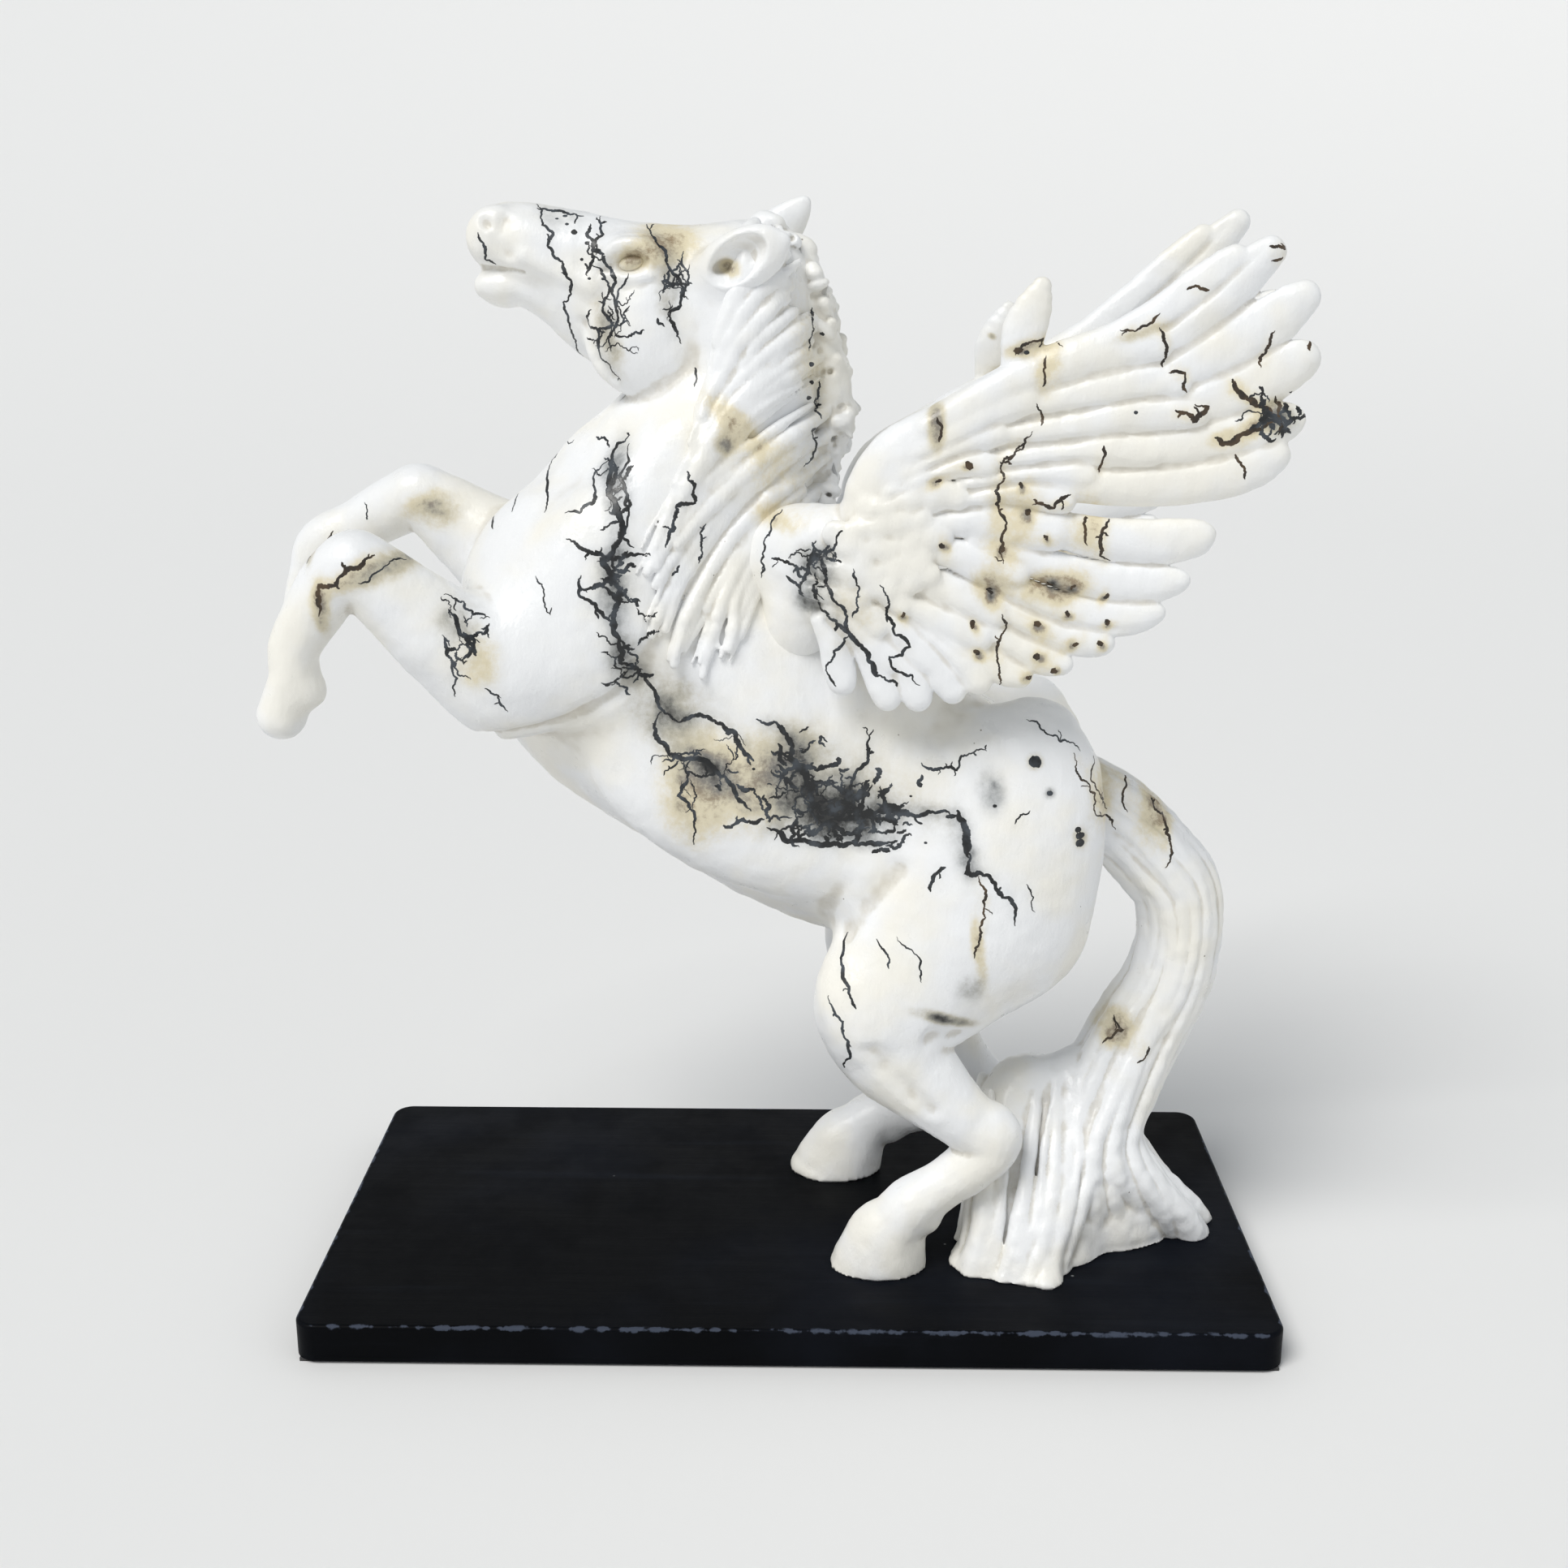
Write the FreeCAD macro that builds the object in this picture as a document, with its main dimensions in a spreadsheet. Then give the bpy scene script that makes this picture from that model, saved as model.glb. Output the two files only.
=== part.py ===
"""A rearing winged horse in white fired clay, standing on a black wooden board.

The horse faces -X, its left side is -Y, and +Z is up. The origin is the middle of the underside of
the felt sheet that the board stands on. Millimetres.

The statuette is put together from separately made clay castings: torso, neck, head, ears, eyeballs,
mane, four legs, tail and two wings, each wing an arm, a covert panel, an alula and single feathers.
The castings butt against each other on their true surfaces. Steel studs set in the two hind hooves
and in the foot of the tail pass down through the board to nuts and washers under it.
"""
import FreeCAD, Part
import math
import os
from FreeCAD import Placement, Rotation, Vector

doc = FreeCAD.newDocument("WingedHorse")
sheet = doc.addObject("Spreadsheet::Sheet", "Dimensions")
values = {}


# ---------------------------------------------------------------- driving dimensions
def dimension(alias, value):
    """Writes one driving dimension into the sheet."""
    row = len(values) + 1
    sheet.set(f"A{row}", alias)
    sheet.set(f"B{row}", repr(float(value)))
    sheet.setAlias(f"B{row}", alias)
    values[alias] = float(value)


BASE_SIZES = {
    "board_length": 400.0,
    "board_width": 200.0,
    "board_thick": 16.0,
    "board_corner": 9.0,
    "board_edge": 1.6,
    "felt_thick": 1.5,
    "felt_inset": 2.0,
    "stud_radius": 2.5,
    "stud_top": 34.0,
    "nut_height": 4.0,
    "nut_circum": 4.6,
    "washer_radius": 5.0,
    "washer_thick": 1.0,
    "counterbore_radius": 7.0,
    "counterbore_deep": 7.5,
    "clearance_radius": 3.0,
    "wall": 8.0,
    "vent_radius": 3.0,
    "eye_radius": 4.2,
    "wing_out": 54.0,
    "wing_flare": 0.05,
    "right_wing_drop": 12.0,
    "right_wing_bend_from": 95.0,
    "right_wing_bend_length": 90.0,
    "right_wing_bend_up": 26.0,
    "right_wing_bend_back": 16.0,
    "feather_thick": 2.6,
    "tertial_thick": 3.0,
}

# Each station of a limb is a name, its centre x, y, z, its half depth in the side view and its half
# thickness across. The last numbers may be the radius of a ball, where the limb turns sharply.
TORSO = [
    ("breast", -119, 0, 289, 36, 27),
    ("chest", -98, 0, 286, 58, 43),
    ("girth", -65, 0, 272, 72, 52),
    ("barrel", -25, 0, 250, 70, 53),
    ("flank", 15, 0, 224, 66, 51),
    ("loin", 50, 0, 205, 58, 45),
    ("croup", 85, 0, 190, 54, 38),
    ("dock", 111, 0, 180, 40, 28),
    ("buttock", 125, 0, 175, 20, 14),
]
NECK = [
    ("base", -52, 0, 312, 70, 38),
    ("low", -50, 0, 334, 63, 38),
    ("middle", -41, 0, 357, 54, 36),
    ("throat", -27, 0, 380, 38, 30),
    ("upper", -22, 0, 402, 31, 25),
    ("poll", -18, 0, 419, 24, 21),
]
HEAD = [
    ("poll", -7, 0, 426, 13, 12),
    ("crown", -24, 0, 420, 23, 21),
    ("jaw", -47, 0, 412, 31, 25),
    ("cheek", -68, 0, 415, 30, 22),
    ("bridge", -88, 0, 427, 22, 17),
    ("nose", -104, 0, 433, 19, 15.5),
    ("lips", -115, 0, 431, 19, 14),
    ("muzzle_end", -124, 0, 432, 10, 9),
]
LEFT_FORELEG = [
    ("shoulder", -92, -34, 282, 26, 20),
    ("elbow", -118, -46, 280, 23, 19),
    ("forearm", -142, -52, 300, 18, 16),
    ("knee", -165, -55, 318, 13.5, 12.5, 15.5),
    ("cannon", -182, -57, 299, 11.5, 10.5),
    ("fetlock", -192, -57, 274, 10.5, 10, 12.5),
    ("hoof_top", -197, -57, 262, 10.5, 9.5),
    ("hoof_sole", -200, -57, 250, 8.5, 8),
]
RIGHT_FORELEG = [
    ("shoulder", -95, 32, 296, 26, 20),
    ("elbow", -122, 40, 303, 23, 18),
    ("forearm", -142, 42, 319, 18.5, 15),
    ("knee", -158, 43, 330, 14, 13, 15.5),
    ("cannon", -182, 44, 321, 12.5, 11),
    ("fetlock", -205, 45, 309, 10.5, 10, 12),
    ("hoof_top", -211, 45, 294, 10, 9.5),
    ("hoof_sole", -215, 45, 279, 9, 8.5),
]
LEFT_HIND_LEG = [
    ("hip", 96, -24, 236, 22, 14),
    ("rump", 86, -28, 216, 40, 22),
    ("thigh", 75, -31, 188, 49, 27),
    ("ham", 56, -36, 155, 43, 25),
    ("stifle", 36, -41, 130, 26, 20, 28),
    ("gaskin", 58, -45, 102, 20, 16),
    ("hock", 84, -46, 76, 13, 11, 14.5),
    ("cannon", 66, -48, 57, 11, 10),
    ("fetlock", 50, -48, 44, 11, 10.5, 13),
    ("hoof_top", 43, -48, 34, 15, 12.5),
    ("hoof_sole", 38, -47, 17.5, 21, 16),
]
RIGHT_HIND_LEG = [
    ("hip", 96, 24, 236, 22, 14),
    ("rump", 86, 28, 216, 40, 22),
    ("thigh", 75, 31, 188, 49, 27),
    ("ham", 60, 36, 155, 42, 25),
    ("stifle", 45, 40, 124, 25, 20, 26),
    ("gaskin", 66, 41, 92, 19, 15),
    ("hock", 88, 42, 56, 13, 11, 14.5),
    ("cannon", 64, 42, 47, 11, 10),
    ("fetlock", 38, 41, 42, 11.5, 11, 13),
    ("hoof_top", 29, 40, 33, 15, 12.5),
    ("hoof_sole", 19, 39, 17.5, 21, 17),
]
TAIL = [
    ("root", 110, 0, 224, 13, 11),
    ("arch", 135, 0, 207, 21, 15),
    ("bow", 155, 0, 184, 24, 17),
    ("back", 166, 0, 156, 20, 17),
    ("low", 164, 0, 128, 19, 17),
    ("flare", 152, -3, 104, 24, 18),
    ("sweep", 139, -7, 82, 36, 20),
    ("skirt", 133, -14, 50, 45, 23),
    ("foot", 131, -21, 17.5, 58, 26),
]
MANE_CREST = [
    ("poll", -8, 0, 441, 8, 6),
    ("nape", 1, 0, 424, 11, 8),
    ("upper", 7, 0, 401, 11, 9),
    ("middle", 13, 0, 374, 12, 10),
    ("lower", 11, 0, 350, 12, 10),
    ("withers", 9, 0, 330, 10, 8),
]
EAR = [
    ("root", -27, -15, 425, 7.5, 5.0),
    ("cup", -15, -20, 433, 9.0, 5.0),
    ("blade", -4, -22, 439, 6.5, 3.6),
    ("tip", 3, -23, 442, 2.5, 1.6),
]
# The wing is laid out on its own slanting plane: only x and z are given, and y follows wing_out.
WING_ARM = [
    ("root", -2, 314, 22, 14),
    ("shoulder", 12, 336, 19, 12),
    ("humerus", 34, 361, 13, 8.5),
    ("forearm", 64, 378, 10, 7),
    ("wrist", 86, 391, 9, 6.5),
    ("hand", 110, 401, 7, 5),
    ("finger", 130, 411, 4, 3.5),
]
COVERT_PANEL = [
    ("root", 10, 297, 11, 4),
    ("low", 27, 313, 24, 6),
    ("middle", 50, 334, 31, 6.5),
    ("high", 71, 354, 26, 6),
    ("end", 88, 374, 15, 4),
]
ALULA = [
    ("root", 86, 396, 8, 4),
    ("blade", 89, 409, 7.5, 3.6),
    ("neck", 93, 419, 5.5, 3),
    ("tip", 94, 427, 2.4, 1.6),
]
# Feathers from the top of the wing down: root x, z and tip x, z.
PRIMARIES = [
    (96, 392, 163, 436),
    (96, 386, 177, 438),
    (95, 379, 189, 423),
    (93, 371, 191, 399),
    (90, 362, 186, 374),
    (86, 353, 177, 355),
]
SECONDARIES = [
    (83, 344, 157, 331),
    (80, 335, 149, 314),
    (76, 326, 142, 299),
    (70, 318, 124, 287),
    (64, 311, 108, 278),
    (57, 305, 91, 272),
]
TERTIALS = [
    (49, 300, 64, 268),
    (41, 296, 52, 264),
    (33, 293, 38, 263),
    (25, 291, 25, 266),
    (17, 289, 13, 271),
]
STUDS = [("left_hoof", 40, -47), ("right_hoof", 22, 39), ("tail_front", 105, -31), ("tail_rear", 157, -11)]
LOCK_COUNT = 6
LOCK_RADII = (6.0, 7.0, 6.0, 2.5)
LOCK_FLATNESS = 0.75
STATION_PARTS = ("x", "y", "z", "deep", "half")
FEATHER_FRACTIONS = (0.0, 0.3, 0.62, 0.88, 1.0)
FEATHER_WIDTHS = (0.85, 1.0, 1.0, 0.95, 0.45)
FEATHER_SAG = 0.10
FEATHER_SHARE = 0.47
SHORT_FEATHER_SPACING = 15.0


def write_sheet():
    for alias, value in BASE_SIZES.items():
        dimension(alias, value)
    limbs = {
        "torso": TORSO,
        "neck": NECK,
        "head": HEAD,
        "left_foreleg": LEFT_FORELEG,
        "right_foreleg": RIGHT_FORELEG,
        "left_hind_leg": LEFT_HIND_LEG,
        "right_hind_leg": RIGHT_HIND_LEG,
        "tail": TAIL,
        "mane_crest": MANE_CREST,
        "ear": EAR,
    }
    for limb, stations in limbs.items():
        for label, *numbers in stations:
            for part, value in zip(STATION_PARTS + ("ball",), numbers):
                dimension(f"{limb}_{label}_{part}", value)
    for limb, stations in {"arm": WING_ARM, "panel": COVERT_PANEL, "alula": ALULA}.items():
        for label, *numbers in stations:
            for part, value in zip(("x", "z", "deep", "half"), numbers):
                dimension(f"{limb}_{label}_{part}", value)
    for row, feathers in {"primary": PRIMARIES, "secondary": SECONDARIES, "tertial": TERTIALS}.items():
        for number, ends in enumerate(feathers, 1):
            for part, value in zip(("root_x", "root_z", "tip_x", "tip_z"), ends):
                dimension(f"{row}_{number}_{part}", value)
    for name, x, y in STUDS:
        dimension(f"stud_{name}_x", x)
        dimension(f"stud_{name}_y", y)
    doc.recompute()


# ---------------------------------------------------------------- construction helpers
def bind(thing, **expressions):
    for path, expression in expressions.items():
        thing.setExpression(path.replace("__", "."), expression)


def cell(alias):
    return f"Dimensions.{alias}"


def ellipse(name, deep, half, centre, facing, along=None):
    """One loft section: deep and half are expressions, centre three expressions, facing the path's way."""
    section = doc.addObject("Part::Ellipse", name)
    bind(section, MajorRadius=deep, MinorRadius=half)
    normal = Vector(facing).normalize()
    major = Vector(along) if along else Vector(0, 1, 0).cross(normal)
    major.normalize()
    turn = Rotation(major, normal.cross(major), normal, "ZXY")
    section.Placement = Placement(Vector(0, 0, 0), turn)
    for axis, expression in zip("xyz", centre):
        section.setExpression(f"Placement.Base.{axis}", expression)
    return section


def loft(name, sections):
    solid = doc.addObject("Part::Loft", name)
    solid.Sections = sections
    solid.Solid = True
    solid.Ruled = False
    return solid


def ball(name, radius, centre):
    thing = doc.addObject("Part::Sphere", name)
    bind(thing, Radius=radius)
    for axis, expression in zip("xyz", centre):
        thing.setExpression(f"Placement.Base.{axis}", expression)
    return thing


def cylinder(name, radius, height, centre):
    thing = doc.addObject("Part::Cylinder", name)
    bind(thing, Radius=radius, Height=height)
    for axis, expression in zip("xyz", centre):
        thing.setExpression(f"Placement.Base.{axis}", expression)
    return thing


def cut(name, base, *tools):
    """base less each tool in turn; the last cut carries the name."""
    for number, tool in enumerate(tools, 1):
        piece = doc.addObject("Part::Cut", f"{name}_cut_{number}")
        piece.Base = base
        piece.Tool = tool
        base = piece
    return base


def fuse(name, shapes):
    piece = doc.addObject("Part::MultiFuse", name)
    piece.Shapes = shapes
    return piece


def group(name, shapes):
    piece = doc.addObject("Part::Compound", name)
    piece.Links = shapes
    return piece


def tangents(points):
    """The way a path runs at each of its points."""
    last = len(points) - 1
    return [points[min(i + 1, last)] - points[max(i - 1, 0)] for i in range(last + 1)]


def limb_span(limb, stations, number, grounded, shrink, twist):
    """One loft over consecutive stations. A grounded span ends in a level section."""
    points = [Vector(*s[1:4]) for s in stations]
    ways = tangents(points)
    sections = []
    for place, (station, way) in enumerate(zip(stations, ways)):
        label = station[0]
        along = None
        if grounded and place == len(stations) - 1:
            way = Vector(0, 0, -1)
            angle = math.radians(180 + twist)
            along = (math.cos(angle), math.sin(angle), 0)
        size = [cell(f"{limb}_{label}_{part}") for part in ("deep", "half")]
        if shrink:
            size = [f"{text} - {shrink}" for text in size]
        centre = [cell(f"{limb}_{label}_{axis}") for axis in "xyz"]
        name = f"{limb}_{'inner_' if shrink else ''}{number}_{label}"
        sections.append(ellipse(name, *size, centre, way, along))
    return loft(f"{limb}_{'inner_' if shrink else ''}span_{number}", sections)


def limb(name, stations, grounded=False, shrink=None, twist=0.0):
    """A limb: lofts between its sharp turns, with a ball at each turn, all fused into one casting."""
    turns = [i for i, s in enumerate(stations) if len(s) > 6]
    ends = [0] + turns + [len(stations) - 1]
    spans = []
    for number, (start, stop) in enumerate(zip(ends, ends[1:]), 1):
        is_last = stop == len(stations) - 1
        span = limb_span(name, stations[start : stop + 1], number, grounded and is_last, shrink, twist)
        spans.append(span)
    if not turns:
        return spans[0]
    for i in turns:
        label = stations[i][0]
        centre = [cell(f"{name}_{label}_{axis}") for axis in "xyz"]
        spans.append(ball(f"{name}_{label}_ball", cell(f"{name}_{label}_ball"), centre))
    return fuse(f"{name}_whole", spans)


# ---------------------------------------------------------------- board and fixings
def make_board():
    """The wooden board: a padded rectangle with rounded corners and an eased top edge."""
    body = doc.addObject("PartDesign::Body", "BoardBody")
    sketch = body.newObject("Sketcher::SketchObject", "BoardOutline")
    plane = next(f for f in body.Origin.OriginFeatures if f.Role == "XY_Plane")
    sketch.AttachmentSupport = [(plane, "")]
    sketch.MapMode = "FlatFace"
    half_x = values["board_length"] / 2
    half_y = values["board_width"] / 2
    corners = [Vector(sx * half_x, sy * half_y, 0) for sx, sy in ((-1, -1), (1, -1), (1, 1), (-1, 1))]
    import Sketcher

    for start, stop in zip(corners, corners[1:] + corners[:1]):
        sketch.addGeometry(Part.LineSegment(start, stop), False)
    for i in range(4):
        sketch.addConstraint(Sketcher.Constraint("Coincident", i, 2, (i + 1) % 4, 1))
    for i, way in enumerate(("Horizontal", "Vertical", "Horizontal", "Vertical")):
        sketch.addConstraint(Sketcher.Constraint(way, i))
    sketch.addConstraint(Sketcher.Constraint("Symmetric", 0, 1, 1, 2, -1, 1))
    length = sketch.addConstraint(Sketcher.Constraint("Distance", 0, values["board_length"]))
    width = sketch.addConstraint(Sketcher.Constraint("Distance", 1, values["board_width"]))
    sketch.setExpression(f"Constraints[{length}]", cell("board_length"))
    sketch.setExpression(f"Constraints[{width}]", cell("board_width"))
    pad = body.newObject("PartDesign::Pad", "BoardPad")
    pad.Profile = sketch
    bind(pad, Length=cell("board_thick"))
    doc.recompute()
    upright = [f"Edge{i}" for i, e in enumerate(pad.Shape.Edges, 1) if abs(e.tangentAt(0).z) > 0.9]
    rounds = body.newObject("PartDesign::Fillet", "BoardCorners")
    rounds.Base = (pad, upright)
    bind(rounds, Radius=cell("board_corner"))
    doc.recompute()
    top = values["board_thick"]
    rim = [
        f"Edge{i}"
        for i, e in enumerate(rounds.Shape.Edges, 1)
        if all(abs(v.Point.z - top) < 1e-6 for v in e.Vertexes)
    ]
    eased = body.newObject("PartDesign::Fillet", "BoardRim")
    eased.Base = (rounds, rim)
    bind(eased, Radius=cell("board_edge"))
    body.Tip = eased
    body.setExpression("Placement.Base.z", cell("felt_thick"))
    return body


def make_felt():
    felt = doc.addObject("Part::Box", "FeltBox")
    length = f"{cell('board_length')} - 2 * {cell('felt_inset')}"
    width = f"{cell('board_width')} - 2 * {cell('felt_inset')}"
    bind(felt, Length=length, Width=width, Height=cell("felt_thick"))
    felt.setExpression("Placement.Base.x", f"-({length}) / 2")
    felt.setExpression("Placement.Base.y", f"-({width}) / 2")
    return felt


def make_fixings():
    """Studs, washers and nuts, and the cutters that clear them through the board."""
    under = cell("felt_thick")
    seat = f"{under} + {cell('counterbore_deep')}"
    studs, washers, nuts, cutters = [], [], [], []
    for name, _, _ in STUDS:
        x, y = cell(f"stud_{name}_x"), cell(f"stud_{name}_y")
        foot = f"{under} + 1"
        tall = f"{cell('stud_top')} - ({foot})"
        studs.append(cylinder(f"stud_{name}", cell("stud_radius"), tall, (x, y, foot)))
        washer_foot = f"{seat} - {cell('washer_thick')}"
        washer = cylinder(f"washer_{name}", cell("washer_radius"), cell("washer_thick"), (x, y, washer_foot))
        washers.append(cut(f"washer_{name}", washer, studs[-1]))
        nut = doc.addObject("Part::Prism", f"nut_{name}")
        nut.Polygon = 6
        bind(nut, Circumradius=cell("nut_circum"), Height=cell("nut_height"))
        nut_foot = f"{washer_foot} - {cell('nut_height')}"
        for axis, expression in zip("xyz", (x, y, nut_foot)):
            nut.setExpression(f"Placement.Base.{axis}", expression)
        nuts.append(cut(f"nut_{name}", nut, studs[-1]))
        pocket = cylinder(
            f"pocket_{name}", cell("counterbore_radius"), f"{cell('counterbore_deep')} + 2", (x, y, f"{under} - 2")
        )
        bore = cylinder(f"bore_{name}", cell("clearance_radius"), cell("board_thick"), (x, y, seat))
        cutters += [pocket, bore]
    return studs, washers, nuts, cutters


# ---------------------------------------------------------------- horse
def make_torso():
    """A hollow casting with a vent hole in the belly, as fired clay needs."""
    outside = limb("torso", TORSO)
    inside = limb("torso", TORSO[1:-1], shrink=cell("wall"))
    vent_x, vent_low, vent_tall = -10.0, 140.0, 60.0
    vent = cylinder("vent", cell("vent_radius"), str(vent_tall), (str(vent_x), "0", str(vent_low)))
    return outside, cut("torso", outside, inside, vent)


def make_ear(side, name):
    """side is -1 on the left and 1 on the right, where the ear stands a little higher and further back."""
    lift = 5.0 if side > 0 else 0.0
    points = [Vector(x, -side * y, z + lift) for _, x, y, z, _, _ in EAR]
    sections = []
    for (label, *_), way in zip(EAR, tangents(points)):
        centre = (
            f"{cell(f'ear_{label}_x')} + {lift / 2}",
            f"{-side} * {cell(f'ear_{label}_y')}",
            f"{cell(f'ear_{label}_z')} + {lift}",
        )
        sections.append(
            ellipse(f"{name}_{label}", cell(f"ear_{label}_deep"), cell(f"ear_{label}_half"), centre, way)
        )
    return loft(f"{name}_loft", sections)


def make_locks(side, name):
    """Locks of mane that fall from the crest down one side of the neck, evenly spaced by a loop."""
    locks = []
    top, bottom = Vector(8, 0, 411), Vector(-6, 0, 331)
    for i in range(LOCK_COUNT):
        share = i / (LOCK_COUNT - 1)
        start = top + (bottom - top) * share
        out = 27 + 19 * share
        path = [
            start + Vector(0, side * (9 + 12 * share), 0),
            start + Vector(-9, side * (out - 3), -13),
            start + Vector(-21, side * (out + 1), -27),
            start + Vector(-33 - 6 * share, side * (out + 1), -42),
        ]
        sections = []
        for number, (point, way, size) in enumerate(zip(path, tangents(path), LOCK_RADII), 1):
            centre = [repr(float(c)) for c in point]
            sections.append(ellipse(f"{name}_{i}_{number}", str(size), str(size * LOCK_FLATNESS), centre, way))
        locks.append(loft(f"{name}_{i}_loft", sections))
    return locks


# ---------------------------------------------------------------- wings
ROOT_TUCK = {"root": 19.0, "shoulder": 9.0, "low": 3.0}


def wing_place(side, x, z, tuck=0.0):
    """Where a point of the wing's layout lies, from numbers. The right wing hangs lower and its tips bend up."""
    if side > 0:
        run = max(0.0, (x - values["right_wing_bend_from"]) / values["right_wing_bend_length"])
        x += values["right_wing_bend_back"] * run
        z += values["right_wing_bend_up"] * run - values["right_wing_drop"]
    return x, side * (values["wing_out"] + values["wing_flare"] * x - tuck), z


def wing_centre(side, x, z, tuck=0.0):
    """The same place as expressions of the sheet, from expressions."""
    if side > 0:
        run = f"max(0; ({x} - {cell('right_wing_bend_from')}) / {cell('right_wing_bend_length')})"
        x, z = (
            f"({x} + {cell('right_wing_bend_back')} * {run})",
            f"{z} + {cell('right_wing_bend_up')} * {run} - {cell('right_wing_drop')}",
        )
    return x, f"{side} * ({cell('wing_out')} + {cell('wing_flare')} * {x} - {tuck})", z


def wing_loft(side, name, limb_name, stations):
    tucks = [ROOT_TUCK.get(label, 0.0) for label, *_ in stations]
    points = [Vector(*wing_place(side, x, z, tuck)) for (_, x, z, _, _), tuck in zip(stations, tucks)]
    sections = []
    for (label, *_), way, tuck in zip(stations, tangents(points), tucks):
        centre = wing_centre(side, cell(f"{limb_name}_{label}_x"), cell(f"{limb_name}_{label}_z"), tuck)
        size = [cell(f"{limb_name}_{label}_{part}") for part in ("deep", "half")]
        sections.append(ellipse(f"{name}_{label}", *size, centre, way))
    return loft(f"{name}_loft", sections)


def quill_point(ends, share):
    """A point of a feather's gently bowed midline, in the wing's layout."""
    root_x, root_z, tip_x, tip_z = ends
    run_x, run_z = tip_x - root_x, tip_z - root_z
    bow = FEATHER_SAG * 4 * share * (1 - share)
    return root_x + run_x * share + run_z * bow, root_z + run_z * share - run_x * bow


def feather_width(feathers, number, share):
    """Just under half of the room to the nearer neighbour."""
    here = Vector(*quill_point(feathers[number], share), 0)
    ahead = Vector(*quill_point(feathers[number], min(share + 0.05, 1)), 0)
    behind = Vector(*quill_point(feathers[number], max(share - 0.05, 0)), 0)
    way = (ahead - behind).normalize()
    gaps = []
    for other in (number - 1, number + 1):
        if 0 <= other < len(feathers):
            there = Vector(*quill_point(feathers[other], share), 0)
            gaps.append(abs((there - here).cross(way).z))
    return FEATHER_SHARE * min(gaps + [2 * SHORT_FEATHER_SPACING])


def feather(side, name, row, feathers, number, thick):
    ends = feathers[number]
    cells = [cell(f"{row}_{number + 1}_{part}") for part in ("root_x", "root_z", "tip_x", "tip_z")]
    points = [Vector(*wing_place(side, *quill_point(ends, share))) for share in FEATHER_FRACTIONS]
    sections = []
    for place, (share, way, swell) in enumerate(zip(FEATHER_FRACTIONS, tangents(points), FEATHER_WIDTHS)):
        bow = FEATHER_SAG * 4 * share * (1 - share)
        root_x, root_z, tip_x, tip_z = cells
        x = f"({root_x} + ({tip_x} - {root_x}) * {share} + ({tip_z} - {root_z}) * {bow})"
        z = f"({root_z} + ({tip_z} - {root_z}) * {share} - ({tip_x} - {root_x}) * {bow})"
        wide = max(feather_width(feathers, number, share) * swell, 1.6)
        half = f"min({cell(thick)}; {wide * 0.8})"
        sections.append(ellipse(f"{name}_{place}", str(wide), half, wing_centre(side, x, z), way))
    return loft(f"{name}_loft", sections)


def make_wing(side, word):
    """Arm, covert panel, alula and feathers of one wing, as a dict of node name to object."""
    arm = wing_loft(side, f"{word}_arm", "arm", WING_ARM)
    panel = cut(f"{word}_panel", wing_loft(side, f"{word}_panel", "panel", COVERT_PANEL), arm)
    alula = cut(f"{word}_alula", wing_loft(side, f"{word}_alula", "alula", ALULA), arm)
    pieces = {f"{word}_wing_arm": arm, f"{word}_covert_panel": panel, f"{word}_alula_feather": alula}
    all_feathers = PRIMARIES + SECONDARIES
    for number in range(len(all_feathers)):
        is_primary = number < len(PRIMARIES)
        row = "primary" if is_primary else "secondary"
        count = number + 1 if is_primary else number + 1 - len(PRIMARIES)
        name = f"{word}_{row}_feather_{count}"
        feathers = PRIMARIES if is_primary else SECONDARIES
        blade = feather(side, name, row, feathers, count - 1, "feather_thick")
        pieces[name] = cut(name, blade, arm, panel)
    tertials = []
    for number in range(len(TERTIALS)):
        name = f"{word}_tertial_{number + 1}"
        blade = feather(side, name, "tertial", TERTIALS, number, "tertial_thick")
        tertials.append(cut(name, blade, panel))
    pieces[f"{word}_tertial_feathers"] = group(f"{word}_tertials", tertials)
    return pieces


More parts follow.
